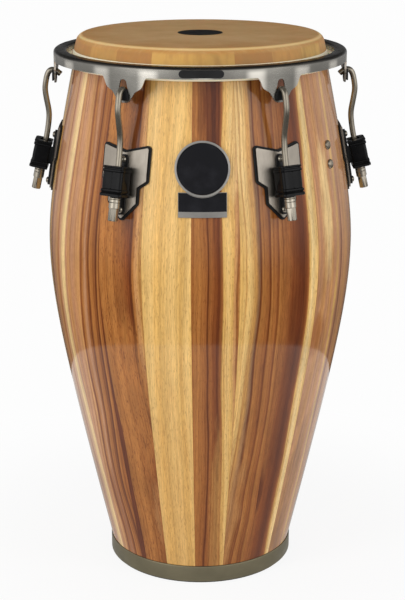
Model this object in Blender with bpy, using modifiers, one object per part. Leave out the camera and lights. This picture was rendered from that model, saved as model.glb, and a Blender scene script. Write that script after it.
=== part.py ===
"""Conga: a drum of twenty glued staves with a hooked tension rim and six tuning lugs.

Metres, +Z up. The origin is the middle of the foot. Azimuth 0 is the front (-Y) and azimuths grow
towards +X, so station 1 stands at the front right.
"""
import math

import bmesh
import bpy
from mathutils import Matrix, Vector

CLEARANCE = 0.0003  # between pieces that touch
OVERSHOOT = 0.010  # of a cutter beyond what it cuts
MERGE_DISTANCE = 0.000001
SHARP_ANGLE = math.radians(35)

# Tuned head: its rim leads the shell's shoulder and every height above the belly
RIM_R = 0.200
RIM_TOP_Z = 0.7423

# Shell
HEAD_RISE = 0.0197
HEAD_TOP_Z = RIM_TOP_Z + HEAD_RISE
STAVE_COUNT = 20
STAVE_FACETS = 3
STAVE_FIRST_JOINT = math.radians(-4)
WALL = 0.0112
BELLY_R = 0.2125
BELLY_Z = 0.475
FOOT_R = 0.1314
SHOULDER_INSET = 0.0298
SHOULDER_R = RIM_R - SHOULDER_INSET
SHOULDER_DROP = 0.0023
SHOULDER_Z = RIM_TOP_Z - SHOULDER_DROP
LOWER_BEND = 0.0312  # how gently the staves bend below the belly
UPPER_BEND = 0.0192
LOWER_STEPS = 5
UPPER_STEPS = 4
LOWER_SPREAD = 1.6  # more than 1 puts the levels closer together at the belly
UPPER_SPREAD = 1.4
EDGE_ROUND_R = 0.010  # rounding of the bearing edge
EDGE_STEPS = 2
INNER_BEVEL = 0.001  # inside of the bearing edge
INNER_STRAIGHT = 0.020  # height of the straight bore under the bearing edge

# Foot
RING_HEIGHT = 0.0238
RING_T = 0.002
RING_LIFT = 0.0022  # the ring ends this far above the floor
RING_REBATE = 0.0011
CUSHION_T = 0.0057
CUSHION_W = 0.0120

# Head and flesh hoop
SKIN_T = 0.0015
HOOP_INSET = 0.0187
HOOP_R = RIM_R - HOOP_INSET
HOOP_DROP = 0.0143
HOOP_Z = RIM_TOP_Z - HOOP_DROP
HOOP_TUBE_R = 0.004
TUCK_T = 0.0015
TUCK_OPENING = math.radians(75)
COLLAR_GAP = 0.0005
COLLAR_END_DROP = 0.0113
COLLAR_END_Z = RIM_TOP_Z - COLLAR_END_DROP
SKIN_BEND_STEPS = 3
TUCK_STEPS = 5
HOOP_SIDES = 6
HEAD_STEPS = 60

# Tension rim
RIM_T = 0.0025
RIM_BAND_DROP = 0.0148
RIM_BAND_Z = RIM_TOP_Z - RIM_BAND_DROP
RIM_ROUND_R = 0.004
RIM_LIP_INSET = 0.0175
RIM_LIP_R = RIM_R - RIM_LIP_INSET
RIM_STEPS = 48
EAR_BOTTOM_DROP = 0.0478
EAR_BOTTOM_Z = RIM_TOP_Z - EAR_BOTTOM_DROP
EAR_OUTLINE = ((0.0340, 0.0335), (0.0300, 0.0290), (0.0245, 0.0185), (0.0170, 0.0140), (0.0112, 0.0060),
               (0.0080, 0.0015), (0.0055, 0.0000))  # (half width, height over the ear's bottom)
SLOT_NECK_R = 0.0050
SLOT_NECK_DROP = 0.0228
SLOT_NECK_Z = RIM_TOP_Z - SLOT_NECK_DROP
SLOT_FOOT_HALF = 0.0080
SLOT_FOOT_DROP = 0.0363
SLOT_FOOT_Z = RIM_TOP_Z - SLOT_FOOT_DROP
SLOT_BOTTOM_DROP = 0.0438
SLOT_BOTTOM_Z = RIM_TOP_Z - SLOT_BOTTOM_DROP

# Tuning lugs
STATION_COUNT = 6
FIRST_STATION = math.radians(30)
HOOK_ROD_R = 0.0039
HOOK_LEAN = math.radians(13)
HOOK_STANDOFF = 0.0191  # from the shell to the rod, level with AXIS_Z
AXIS_DROP = 0.1259
AXIS_Z = RIM_TOP_Z - AXIS_DROP
HOOK_SEAT_DROP = 0.0288
HOOK_SEAT_Z = RIM_TOP_Z - HOOK_SEAT_DROP
HOOK_THREAD_END = 0.0700  # along the leaning axis, down from AXIS_Z
NECK_START_DROP = 0.0190
NECK_START_OUT = 0.0014
NECK_END_RISE = 0.0126
NECK_BOW = ((0.13, 0.0016), (0.37, -0.0002), (0.64, -0.0028), (0.87, -0.0012))
CROOK = ((-0.0085, -0.0079), (-0.0045, -0.0041), (-0.0004, -0.0010), (0.0027, 0.0000), (0.0060, -0.0011),
         (0.0088, -0.0049), (0.0108, -0.0112))  # (outward of the ear, above the seat)
HOOK_BORE_CLEARANCE = 0.0004
HOOK_SPACING = 0.0120  # between the points of the bent rod's mesh
SLEEVE_R = 0.0075
SLEEVE_START = 0.0030
SLEEVE_LENGTH = 0.0390
WEB_HALF = 0.0045
WEB_MARGIN = 0.0080
STRAP_W = 0.0123
STRAP_T = 0.0030
STRAP_ROUNDING = 0.8  # of the ends, as a share of half the width
UPPER_SCREW_DROP = 0.1218
UPPER_SCREW_Z = RIM_TOP_Z - UPPER_SCREW_DROP
LOWER_SCREW_DROP = 0.1858
LOWER_SCREW_Z = RIM_TOP_Z - LOWER_SCREW_DROP
STRAP_END_MARGIN = 0.0065
JACKET_W = 0.0316
JACKET_INNER = 0.0098
JACKET_OUTER = 0.0145
JACKET_START = 0.0015
JACKET_LENGTH = 0.0390
JACKET_CORNER = 0.0045
JACKET_BACK_CORNER = 0.0015
JACKET_RIBS = ((0.0, 0.0), (0.0022, 0.0), (0.0028, -0.0009), (0.0046, -0.0009), (0.0052, 0.0), (0.0074, 0.0),
               (0.0080, -0.0009), (0.0300, -0.0009), (0.0310, 0.0), (0.0330, 0.0), (0.0338, -0.0007),
               (0.0362, 0.0006))  # (distance from the top, growth of the outline)

# Side plates
PLATE_T = 0.0020
GASKET_T = 0.0020
GASKET_BORDER = 0.0032
PLATE_HALF_W = 0.0320
PLATE_TOP_DROP = 0.1053
PLATE_TOP_Z = RIM_TOP_Z - PLATE_TOP_DROP
PLATE_VALLEY_DROP = 0.1133
PLATE_VALLEY_Z = RIM_TOP_Z - PLATE_VALLEY_DROP
PLATE_WING_DROP = 0.1473
PLATE_WING_Z = RIM_TOP_Z - PLATE_WING_DROP
PLATE_WAIST_HALF = 0.0200
PLATE_WAIST_TOP_DROP = 0.1558
PLATE_WAIST_TOP_Z = RIM_TOP_Z - PLATE_WAIST_TOP_DROP
PLATE_WAIST_LOW_DROP = 0.1763
PLATE_WAIST_LOW_Z = RIM_TOP_Z - PLATE_WAIST_LOW_DROP
PLATE_TIP_DROP = 0.1973
PLATE_TIP_Z = RIM_TOP_Z - PLATE_TIP_DROP
PLATE_CORNER_R = 0.0020

# Fasteners
SCREW_R = 0.0024
SCREW_HEAD_R = 0.0043
SCREW_HEAD_H = 0.0030
SCREW_HOLE_CLEARANCE = 0.0004
SCREW_WASHER_R = 0.0070
SCREW_WASHER_T = 0.0012
SCREW_NUT_R = 0.0046  # to the corners
SCREW_NUT_H = 0.0040
THREAD_STICKS_OUT = 0.0015
SIDE_BOLT_AZIMUTH = math.radians(60)
SIDE_BOLT_DROPS = (0.1177, 0.1429)
SIDE_BOLT_HEIGHTS = tuple(RIM_TOP_Z - drop for drop in SIDE_BOLT_DROPS)
SIDE_BOLT_R = 0.0030
SIDE_BOLT_HEAD_R = 0.0064
SIDE_BOLT_HEAD_H = 0.0036
NUT_WASHER_R = 0.0072
NUT_WASHER_T = 0.0014
NUT_COLLAR_R = 0.00725
NUT_COLLAR_L = 0.0120
NUT_HEX_R = 0.0066  # to the corners
NUT_HEX_L = 0.0160
SMALL_STEPS = 8
SLEEVE_STEPS = 12
GROOVE_STEPS = 16
SCREW_SHOULDER = (0.6, 0.8)  # where a domed head turns over, as shares of its radius and height

# Badge and name plate
BADGE_DROP = 0.1293
BADGE_Z = RIM_TOP_Z - BADGE_DROP
BADGE_R = 0.0353
BADGE_STEPS = 24
NOTCH_STEPS = 6
BEZEL_W = 0.0026
BADGE_T = 0.0022
BEZEL_T = 0.0028
NAME_PLATE_W = 0.0625
NAME_PLATE_TOP_DROP = 0.1588
NAME_PLATE_TOP_Z = RIM_TOP_Z - NAME_PLATE_TOP_DROP
NAME_PLATE_BOTTOM_DROP = 0.1905
NAME_PLATE_BOTTOM_Z = RIM_TOP_Z - NAME_PLATE_BOTTOM_DROP
NAME_PLATE_T = 0.0018

# Slot inserts
INSERT_FLANGE_GROWTH = 0.0012
INSERT_FLANGE_T = 0.0022
INSERT_INNER_T = 0.0006
INSERT_TOP_DROP = 0.0020
INSERT_FLARE_HALF = 0.0054
INSERT_FLARE_DROP = 0.0333
INSERT_FLARE = (INSERT_FLARE_HALF, RIM_TOP_Z - INSERT_FLARE_DROP)  # (half width, height) where the plug widens with its slot
INSERT_FOOT_DROP = 0.0010

FINISHES = {  # colour, roughness, metallic
    "shell": ((0.50, 0.22, 0.07), 0.25, 0.0),
    "base_ring": ((0.24, 0.23, 0.18), 0.40, 1.0),
    "foot_cushion": ((0.02, 0.02, 0.02), 0.80, 0.0),
    "drum_head": ((0.55, 0.36, 0.16), 0.50, 0.0),
    "head_tuck": ((0.70, 0.58, 0.38), 0.60, 0.0),
    "flesh_hoop": ((0.40, 0.40, 0.40), 0.40, 1.0),
    "tension_rim": ((0.42, 0.42, 0.42), 0.32, 1.0),
    "ear_insert": ((0.01, 0.01, 0.01), 0.60, 0.0),
    "side_plate": ((0.60, 0.58, 0.57), 0.35, 1.0),
    "plate_gasket": ((0.01, 0.01, 0.01), 0.75, 0.0),
    "lug_bracket": ((0.02, 0.02, 0.02), 0.45, 0.0),
    "receiver_jacket": ((0.02, 0.02, 0.02), 0.60, 0.0),
    "tuning_hook": ((0.50, 0.50, 0.48), 0.25, 1.0),
    "tuning_nut": ((0.55, 0.54, 0.48), 0.25, 1.0),
    "nut_washer": ((0.50, 0.50, 0.48), 0.30, 1.0),
    "side_bolt": ((0.50, 0.50, 0.50), 0.25, 1.0),
    "badge_disc": ((0.012, 0.012, 0.015), 0.35, 0.0),
    "badge_bezel": ((0.45, 0.45, 0.44), 0.30, 1.0),
    "name_plate": ((0.012, 0.012, 0.015), 0.35, 0.0),
}

SCREW_HEIGHTS = (UPPER_SCREW_Z, LOWER_SCREW_Z)
FACET = 2 * math.pi / STAVE_COUNT / STAVE_FACETS
RING_TOP_Z = RING_LIFT + RING_HEIGHT
STAVE_FOOT_Z = CUSHION_T + CLEARANCE
FOOT_TURNED_R = FOOT_R - RING_REBATE
EDGE_TOP_Z = HEAD_TOP_Z - SKIN_T - CLEARANCE
EDGE_CENTRE_Z = EDGE_TOP_Z - EDGE_ROUND_R
SKIN_BEND_R = EDGE_ROUND_R + CLEARANCE + SKIN_T
TUCK_R = HOOP_TUBE_R + CLEARANCE + TUCK_T
COLLAR_END_R = HOOP_R - TUCK_R - COLLAR_GAP
SHELL_PHASE = STAVE_FIRST_JOINT - math.pi / 2  # a facet's edge, as an angle from +X
RIM_PHASE = math.pi / RIM_STEPS  # puts the middle of a facet at each station


def bulge(height, end_r, end_z, bend):
    """Outer radius on one side of the belly: a hyperbola that meets the end's radius."""
    drop = BELLY_R - end_r
    slope = math.sqrt((bend + drop) ** 2 - bend ** 2) / abs(end_z - BELLY_Z)
    return BELLY_R + bend - math.hypot(bend, slope * (height - BELLY_Z))


def smooth_shell_r(height):
    """Outer radius of the staves before they are cut into facets."""
    if height < BELLY_Z:
        return bulge(height, FOOT_R, RING_TOP_Z, LOWER_BEND)
    return bulge(height, SHOULDER_R, SHOULDER_Z, UPPER_BEND)


def edge_centre_r():
    """Radius of the circle of centres of the bearing edge's rounding."""
    step = 0.001
    slope = (smooth_shell_r(EDGE_CENTRE_Z - step) - smooth_shell_r(EDGE_CENTRE_Z + step)) / (2 * step)
    return smooth_shell_r(EDGE_CENTRE_Z) - EDGE_ROUND_R * math.hypot(1, slope)


EDGE_CENTRE_R = edge_centre_r()


def tangent_angle(point, centre, radius):
    """Angle above the horizontal at which a line from point touches a circle on its outer side."""
    dr = point[0] - centre[0]
    dz = point[1] - centre[1]
    return math.atan2(dz, dr) + math.acos(radius / math.hypot(dr, dz))


def edge_start():
    """Where the outside of the staves runs into the bearing edge's rounding, and the angle there."""
    angle = tangent_angle((SHOULDER_R, SHOULDER_Z), (EDGE_CENTRE_R, EDGE_CENTRE_Z), EDGE_ROUND_R)
    return angle, EDGE_CENTRE_Z + EDGE_ROUND_R * math.sin(angle)


def shell_levels():
    """Heights at which the staves' facets meet, closer together at the belly."""
    top = edge_start()[1]
    bottom = RING_TOP_Z + CLEARANCE
    down = [(i / LOWER_STEPS) ** LOWER_SPREAD for i in range(LOWER_STEPS, 0, -1)]
    up = [(i / UPPER_STEPS) ** UPPER_SPREAD for i in range(UPPER_STEPS + 1)]
    below = [BELLY_Z - (BELLY_Z - bottom) * share for share in down]
    above = [BELLY_Z + (top - BELLY_Z) * share for share in up]
    return below + above


LEVELS = shell_levels()


def shell_r(height):
    """Outer radius at a facet's edge, straight between levels."""
    lower = max((z for z in LEVELS if z <= height), default=LEVELS[0])
    upper = min((z for z in LEVELS if z > lower), default=LEVELS[-1])
    if upper == lower:
        return smooth_shell_r(lower)
    share = (height - lower) / (upper - lower)
    return smooth_shell_r(lower) * (1 - share) + smooth_shell_r(upper) * share


def facet_middle(azimuth):
    """Azimuth of the middle of the shell facet that an azimuth falls on."""
    return STAVE_FIRST_JOINT + (math.floor((azimuth - STAVE_FIRST_JOINT) / FACET) + 0.5) * FACET


def station_azimuths():
    return [FIRST_STATION + i * 2 * math.pi / STATION_COUNT for i in range(STATION_COUNT)]


def turn_to(azimuth):
    """Turns local +X, the outward direction, to an azimuth."""
    return Matrix.Rotation(azimuth - math.pi / 2, 4, "Z")


def surface_frame(azimuth, height, lift=0.0):
    """Local +Z leaves the shell's facet squarely at this azimuth and height."""
    middle = facet_middle(azimuth)
    lower = max(z for z in LEVELS if z <= height)
    upper = min(z for z in LEVELS if z > height)
    lean = math.atan((smooth_shell_r(lower) - smooth_shell_r(upper)) / (upper - lower) * math.cos(FACET / 2))
    radius = shell_r(height) * math.cos(FACET / 2) / math.cos(azimuth - middle)
    origin = turn_to(azimuth) @ Vector((radius, 0, height))
    normal = turn_to(middle) @ Vector((math.cos(lean), 0, math.sin(lean)))
    turn = normal.to_track_quat("Z", "Y").to_matrix().to_4x4()
    return Matrix.Translation(origin + normal * lift) @ turn


def new_collection(name):
    collection = bpy.data.collections.new(name)
    bpy.context.scene.collection.children.link(collection)
    return collection


def clear_scene():
    for obj in list(bpy.data.objects):
        bpy.data.objects.remove(obj)


def finish_of(name):
    """The Principled material of a piece, shared by its copies."""
    key = name.rstrip("0123456789").rstrip("_")
    material = bpy.data.materials.get(key)
    if material is None:
        colour, roughness, metallic = FINISHES[key]
        material = bpy.data.materials.new(key)
        material.use_nodes = True
        shader = material.node_tree.nodes["Principled BSDF"]
        shader.inputs["Base Color"].default_value = (*colour, 1)
        shader.inputs["Roughness"].default_value = roughness
        shader.inputs["Metallic"].default_value = metallic
        material.diffuse_color = (*colour, 1)
    return material


def add_piece(name, mesh, matrix=None):
    """Puts a mesh in the scene as the named sub-part."""
    obj = bpy.data.objects.new(name, mesh)
    parts.objects.link(obj)
    if matrix is not None:
        obj.matrix_world = matrix
    if not mesh.materials:
        mesh.materials.append(finish_of(name))
    return obj


def add_cutter(name, mesh, matrix=None):
    obj = bpy.data.objects.new(name, mesh)
    cutters.objects.link(obj)
    obj.hide_render = True
    obj.display_type = "WIRE"
    if matrix is not None:
        obj.matrix_world = matrix
    return obj


def round_shading(mesh):
    mesh.shade_smooth()
    mesh.set_sharp_from_angle(angle=SHARP_ANGLE)


def mesh_of(bm, name):
    bmesh.ops.recalc_face_normals(bm, faces=bm.faces)
    mesh = bpy.data.meshes.new(name)
    bm.to_mesh(mesh)
    bm.free()
    return mesh


def baked(obj, name):
    """The mesh of an object with its modifiers applied. The object is removed."""
    bpy.context.view_layer.update()
    evaluated = obj.evaluated_get(bpy.context.evaluated_depsgraph_get())
    mesh = bpy.data.meshes.new_from_object(evaluated)
    mesh.name = name
    bpy.data.objects.remove(obj)
    return mesh


def wire_loop(name, points, closed):
    """Edges through (radius, height) points, in the XZ plane."""
    bm = bmesh.new()
    verts = [bm.verts.new((r, 0, z)) for r, z in points]
    for a, b in zip(verts, verts[1:]):
        bm.edges.new((a, b))
    if closed:
        bm.edges.new((verts[-1], verts[0]))
    mesh = bpy.data.meshes.new(name)
    bm.to_mesh(mesh)
    bm.free()
    return mesh


def screw_modifier(obj, steps):
    """Turns a profile about the local Z axis."""
    screw = obj.modifiers.new("turn", "SCREW")
    screw.steps = steps
    screw.render_steps = steps
    screw.use_merge_vertices = True
    screw.merge_threshold = MERGE_DISTANCE
    screw.use_smooth_shade = True
    return screw


def turned(name, points, steps, closed=False):
    """Mesh of a small turned shape."""
    obj = bpy.data.objects.new(name, wire_loop(name, points, closed))
    cutters.objects.link(obj)
    screw_modifier(obj, steps)
    mesh = baked(obj, name)
    round_shading(mesh)
    return mesh


def turned_piece(name, points, steps, phase, closed=True):
    """A large turned sub-part that keeps its Screw modifier."""
    obj = add_piece(name, wire_loop(name, points, closed), Matrix.Rotation(phase, 4, "Z"))
    screw_modifier(obj, steps)
    return obj


def boolean(target, cutter, operation="DIFFERENCE"):
    change = target.modifiers.new(operation.lower(), "BOOLEAN")
    change.object = cutter
    change.operation = operation
    change.solver = "EXACT"


def shaped(name, mesh, changes):
    """Bakes a mesh with a list of (operation, mesh) changes made to it in turn."""
    obj = add_cutter(name, mesh)
    tools = [add_cutter(f"{name}_tool_{i}", tool) for i, (_, tool) in enumerate(changes)]
    for tool, (operation, _) in zip(tools, changes):
        boolean(obj, tool, operation)
    result = baked(obj, name)
    for tool in tools:
        bpy.data.objects.remove(tool)
    return result


def gathered(name, placed):
    """One mesh of (mesh, matrix) copies that stay separate solids."""
    bm = bmesh.new()
    for mesh, matrix in placed:
        copy = mesh.copy()
        copy.transform(matrix)
        bm.from_mesh(copy)
        bpy.data.meshes.remove(copy)
    result = bpy.data.meshes.new(name)
    bm.to_mesh(result)
    bm.free()
    return result


def rod_mesh(name, radius, start, end, segments, origin=None, direction=None):
    """Cylinder from start to end along a direction, by default the local Z axis."""
    bm = bmesh.new()
    bmesh.ops.create_cone(bm, cap_ends=True, segments=segments, radius1=radius, radius2=radius,
                          depth=end - start)
    bmesh.ops.translate(bm, verts=bm.verts, vec=(0, 0, (start + end) / 2))
    if direction is not None:
        turn = Vector(direction).to_track_quat("Z", "Y").to_matrix().to_4x4()
        bmesh.ops.transform(bm, matrix=Matrix.Translation(origin) @ turn, verts=bm.verts)
    return mesh_of(bm, name)


def box_mesh(name, low, high):
    bm = bmesh.new()
    bmesh.ops.create_cube(bm, size=1)
    size = [b - a for a, b in zip(low, high)]
    middle = [(a + b) / 2 for a, b in zip(low, high)]
    bmesh.ops.scale(bm, verts=bm.verts, vec=size)
    bmesh.ops.translate(bm, verts=bm.verts, vec=middle)
    return mesh_of(bm, name)


def prism_mesh(name, outline, near, far):
    """An outline of (across, up) points, extruded along local X from near to far."""
    curve = bpy.data.curves.new(name, "CURVE")
    curve.dimensions = "2D"
    curve.fill_mode = "BOTH"
    curve.extrude = (far - near) / 2
    spline = curve.splines.new("POLY")
    spline.points.add(len(outline) - 1)
    for point, (across, up) in zip(spline.points, outline):
        point.co = (across, up, 0, 1)
    spline.use_cyclic_u = True
    obj = bpy.data.objects.new(name, curve)
    cutters.objects.link(obj)
    mesh = baked(obj, name)
    bpy.data.curves.remove(curve)
    bm = bmesh.new()
    bm.from_mesh(mesh)
    bpy.data.meshes.remove(mesh)
    bmesh.ops.remove_doubles(bm, verts=bm.verts, dist=MERGE_DISTANCE)
    stand_up = Matrix(((0, 0, 1, (near + far) / 2), (1, 0, 0, 0), (0, 1, 0, 0), (0, 0, 0, 1)))
    bmesh.ops.transform(bm, matrix=stand_up, verts=bm.verts)
    return mesh_of(bm, name)


def mirrored(half):
    """Closed outline from the right half's points, listed from one end of the centre line to the other."""
    left = [(-s, z) for s, z in reversed(half) if s > 0]
    return list(half) + left


def rounded(outline, radius, steps=2):
    """Rounds each corner of a closed outline with an arc."""
    result = []
    count = len(outline)
    for i, corner in enumerate(outline):
        corner = Vector(corner)
        before = Vector(outline[i - 1]) - corner
        after = Vector(outline[(i + 1) % count]) - corner
        half = before.angle(after) / 2
        cut = min(radius / math.tan(half), 0.45 * before.length, 0.45 * after.length)
        reach = cut * math.tan(half)
        first = corner + before.normalized() * cut
        last = corner + after.normalized() * cut
        centre = corner + (before.normalized() + after.normalized()).normalized() * math.hypot(cut, reach)
        for k in range(steps + 1):
            share = k / steps
            mix = (first - centre).lerp(last - centre, share)
            result.append(tuple(centre + mix.normalized() * reach))
    return result


def grown(outline, distance):
    """Offsets a clockwise or anticlockwise closed outline outwards."""
    area = sum(a[0] * b[1] - b[0] * a[1] for a, b in zip(outline, outline[1:] + outline[:1]))
    side = 1 if area > 0 else -1
    result = []
    count = len(outline)
    for i, corner in enumerate(outline):
        along = [Vector(corner) - Vector(outline[i - 1]), Vector(outline[(i + 1) % count]) - Vector(corner)]
        normals = [Vector((d.y, -d.x)).normalized() * side for d in along]
        middle = (normals[0] + normals[1]).normalized()
        result.append(tuple(Vector(corner) + middle * distance / middle.dot(normals[0])))
    return result


def circle(radius, steps, middle=(0.0, 0.0)):
    return [(middle[0] + radius * math.cos(2 * math.pi * i / steps),
             middle[1] + radius * math.sin(2 * math.pi * i / steps)) for i in range(steps)]


def wrapped(name, outline, inner, outer, hole=None):
    """A sheet that follows the shell's facets, from (across, height) outlines round local +X."""
    bm = bmesh.new()
    rings = [[bm.verts.new((s / smooth_shell_r(z), z, 0)) for s, z in ring] for ring in (outline, hole) if ring]
    if hole:
        loops = [bm.edges.new((a, b)) for verts in rings for a, b in zip(verts, verts[1:] + verts[:1])]
        bmesh.ops.triangle_fill(bm, edges=loops, use_beauty=True)
    else:
        bm.faces.new(rings[0])
    reach = max(abs(v.co.x) for v in bm.verts)
    edge = STAVE_FIRST_JOINT
    cuts = [edge + k * FACET for k in range(-STAVE_COUNT, STAVE_COUNT) if abs(edge + k * FACET) < reach]
    heights = [v.co.y for v in bm.verts]
    levels = [z for z in LEVELS if min(heights) < z < max(heights)]
    planes = [((x, 0, 0), (1, 0, 0)) for x in cuts] + [((0, z, 0), (0, 1, 0)) for z in levels]
    for point, normal in planes:
        everything = bm.verts[:] + bm.edges[:] + bm.faces[:]
        bmesh.ops.bisect_plane(bm, geom=everything, dist=MERGE_DISTANCE / 10, plane_co=point, plane_no=normal)
    top = bmesh.ops.extrude_face_region(bm, geom=bm.faces[:])["geom"]
    raised = {v for v in top if isinstance(v, bmesh.types.BMVert)}
    for vert in bm.verts:
        angle, height, _ = vert.co
        middle = facet_middle(angle)
        radius = shell_r(height) * math.cos(FACET / 2) / math.cos(angle - middle)
        radius += outer if vert in raised else inner
        vert.co = (radius * math.cos(angle), radius * math.sin(angle), height)
    return mesh_of(bm, name)


def smooth_path(points, spacing):
    """Points a set distance apart on a smooth curve through (r, z) points."""
    result = []
    padded = [points[0]] + list(points) + [points[-1]]
    for a, b, c, d in zip(padded, padded[1:], padded[2:], padded[3:]):
        steps = max(1, round(math.dist(b, c) / spacing))
        for k in range(steps):
            t = k / steps
            result.append(tuple(
                0.5 * (2 * q + (r - p) * t + (2 * p - 5 * q + 4 * r - s) * t * t
                       + (3 * q - p - 3 * r + s) * t ** 3)
                for p, q, r, s in zip(a, b, c, d)))
    return result + [points[-1]]


# Shell

def stave_outline():
    """A stave's section through its length: outside, bearing edge, inside."""
    start_angle, _ = edge_start()
    outside = [(FOOT_TURNED_R, STAVE_FOOT_Z), (FOOT_TURNED_R, RING_TOP_Z + CLEARANCE)]
    outside += [(smooth_shell_r(z), z) for z in LEVELS[:-1]]
    for i in range(EDGE_STEPS + 1):
        angle = start_angle + (math.pi / 2 - start_angle) * i / EDGE_STEPS
        outside.append((EDGE_CENTRE_R + EDGE_ROUND_R * math.cos(angle),
                        EDGE_CENTRE_Z + EDGE_ROUND_R * math.sin(angle)))
    inner_top_r = smooth_shell_r(EDGE_CENTRE_Z) - WALL
    inside = [(inner_top_r, EDGE_TOP_Z - INNER_BEVEL), (inner_top_r, EDGE_CENTRE_Z)]
    zone = [z for z in LEVELS if BELLY_Z < z < EDGE_CENTRE_Z - INNER_STRAIGHT]
    inside += [(smooth_shell_r(z) - WALL, z) for z in reversed(zone)]
    lower = [z for z in LEVELS if z <= BELLY_Z]
    inside += [(smooth_shell_r(z) - WALL, z) for z in lower[::-2]]
    inside += [(FOOT_TURNED_R - WALL, STAVE_FOOT_Z)]
    return outside + inside


def make_shell():
    """The glued-up staves as the one turned body that they become, drilled for its screws."""
    shell = turned_piece("shell", stave_outline(), STAVE_COUNT * STAVE_FACETS, SHELL_PHASE)
    reach = 3 * WALL
    screw_hole = rod_mesh("screw_hole", SCREW_R + SCREW_HOLE_CLEARANCE, -reach, reach, SMALL_STEPS)
    bolt_hole = rod_mesh("bolt_hole", SIDE_BOLT_R + SCREW_HOLE_CLEARANCE, -reach, reach, SMALL_STEPS)
    holes = [(screw_hole, surface_frame(a, z)) for a in station_azimuths() for z in SCREW_HEIGHTS]
    holes += [(bolt_hole, surface_frame(SIDE_BOLT_AZIMUTH, z)) for z in SIDE_BOLT_HEIGHTS]
    boolean(shell, add_cutter("shell_holes", gathered("shell_holes", holes)))


def make_foot():
    ring_in = FOOT_TURNED_R + CLEARANCE
    ring_out = ring_in + RING_T
    turned_piece("base_ring", [(ring_out, RING_TOP_Z), (ring_out, RING_LIFT), (ring_in, RING_LIFT),
                               (ring_in, RING_TOP_Z)], HEAD_STEPS, SHELL_PHASE)
    outer = FOOT_TURNED_R
    inner = outer - CUSHION_W
    turned_piece("foot_cushion", [(outer, CUSHION_T), (outer, 0), (inner, 0), (inner, CUSHION_T)],
                 HEAD_STEPS, SHELL_PHASE)


# Head

def skin_points(radius, end_r):
    """The skin's flat, its bend over the bearing edge and its collar, on one face of the skin."""
    start = tangent_angle((end_r, COLLAR_END_Z), (EDGE_CENTRE_R, EDGE_CENTRE_Z), radius)
    bend = []
    for i in range(SKIN_BEND_STEPS + 1):
        angle = math.pi / 2 + (start - math.pi / 2) * i / SKIN_BEND_STEPS
        bend.append((EDGE_CENTRE_R + radius * math.cos(angle), EDGE_CENTRE_Z + radius * math.sin(angle)))
    return [(0, EDGE_CENTRE_Z + radius)] + bend + [(end_r, COLLAR_END_Z)]


def make_head():
    outside = skin_points(SKIN_BEND_R, COLLAR_END_R)
    inside = skin_points(SKIN_BEND_R - SKIN_T, COLLAR_END_R - SKIN_T)
    turned_piece("drum_head", outside + inside[::-1], HEAD_STEPS, SHELL_PHASE, closed=False)


def make_flesh_hoop():
    """The steel hoop and the skin that is wrapped round it, open where its end is tucked in."""
    hoop = [(HOOP_R + HOOP_TUBE_R * math.cos(a), HOOP_Z + HOOP_TUBE_R * math.sin(a))
            for a in (math.pi / 2 - k * 2 * math.pi / HOOP_SIDES for k in range(HOOP_SIDES))]
    turned_piece("flesh_hoop", hoop, RIM_STEPS, RIM_PHASE)
    start = math.pi - TUCK_OPENING / 2
    sweep = 2 * math.pi - TUCK_OPENING
    angles = [start - sweep * k / TUCK_STEPS for k in range(TUCK_STEPS + 1)]
    outer = [(HOOP_R + TUCK_R * math.cos(a), HOOP_Z + TUCK_R * math.sin(a)) for a in angles]
    inner_r = TUCK_R - TUCK_T
    inner = [(HOOP_R + inner_r * math.cos(a), HOOP_Z + inner_r * math.sin(a)) for a in reversed(angles)]
    turned_piece("head_tuck", outer + inner, RIM_STEPS, RIM_PHASE)


# Tension rim

def ear_half():
    """Right half of an ear, from the band down to the middle of its bottom edge."""
    points = [(EAR_OUTLINE[0][0], RIM_BAND_Z + RIM_T)]
    points += [(s, EAR_BOTTOM_Z + up) for s, up in EAR_OUTLINE]
    return points + [(0.0, EAR_BOTTOM_Z)]


def slot_half():
    """Right half of a keyhole slot, from its rounded top down to the middle of its foot."""
    neck = [(SLOT_NECK_R * math.sin(a), SLOT_NECK_Z + SLOT_NECK_R * math.cos(a))
            for a in (0, math.pi / 4, math.pi / 2)]
    return neck + [(SLOT_FOOT_HALF, SLOT_FOOT_Z), (SLOT_FOOT_HALF, SLOT_BOTTOM_Z), (0.0, SLOT_BOTTOM_Z)]


def rim_section():
    """Sheet steel: a band, a rounded top and a lip that presses on the flesh hoop."""
    def corner(r, z, radius, first, last):
        steps = 2
        return [(r + radius * math.cos(first + (last - first) * k / steps),
                 z + radius * math.sin(first + (last - first) * k / steps)) for k in range(steps + 1)]

    quarter = math.pi / 2
    low = EAR_BOTTOM_Z - RIM_T
    bend = RIM_ROUND_R - RIM_T
    lip_out = RIM_LIP_R + RIM_T
    outside = corner(RIM_R - RIM_ROUND_R, RIM_TOP_Z - RIM_ROUND_R, RIM_ROUND_R, quarter, 0)
    inside = corner(RIM_R - RIM_ROUND_R, RIM_TOP_Z - RIM_ROUND_R, bend, 0, quarter)
    seat = HOOP_Z + math.sqrt(TUCK_R ** 2 - (RIM_LIP_R - HOOP_R) ** 2) + CLEARANCE
    return (outside + [(RIM_R, low), (RIM_R - RIM_T, low)] + inside
            + [(lip_out, RIM_TOP_Z - RIM_T), (lip_out, seat), (RIM_LIP_R, seat), (RIM_LIP_R, RIM_TOP_Z - RIM_T),
               (RIM_LIP_R + RIM_T, RIM_TOP_Z)])


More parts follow.
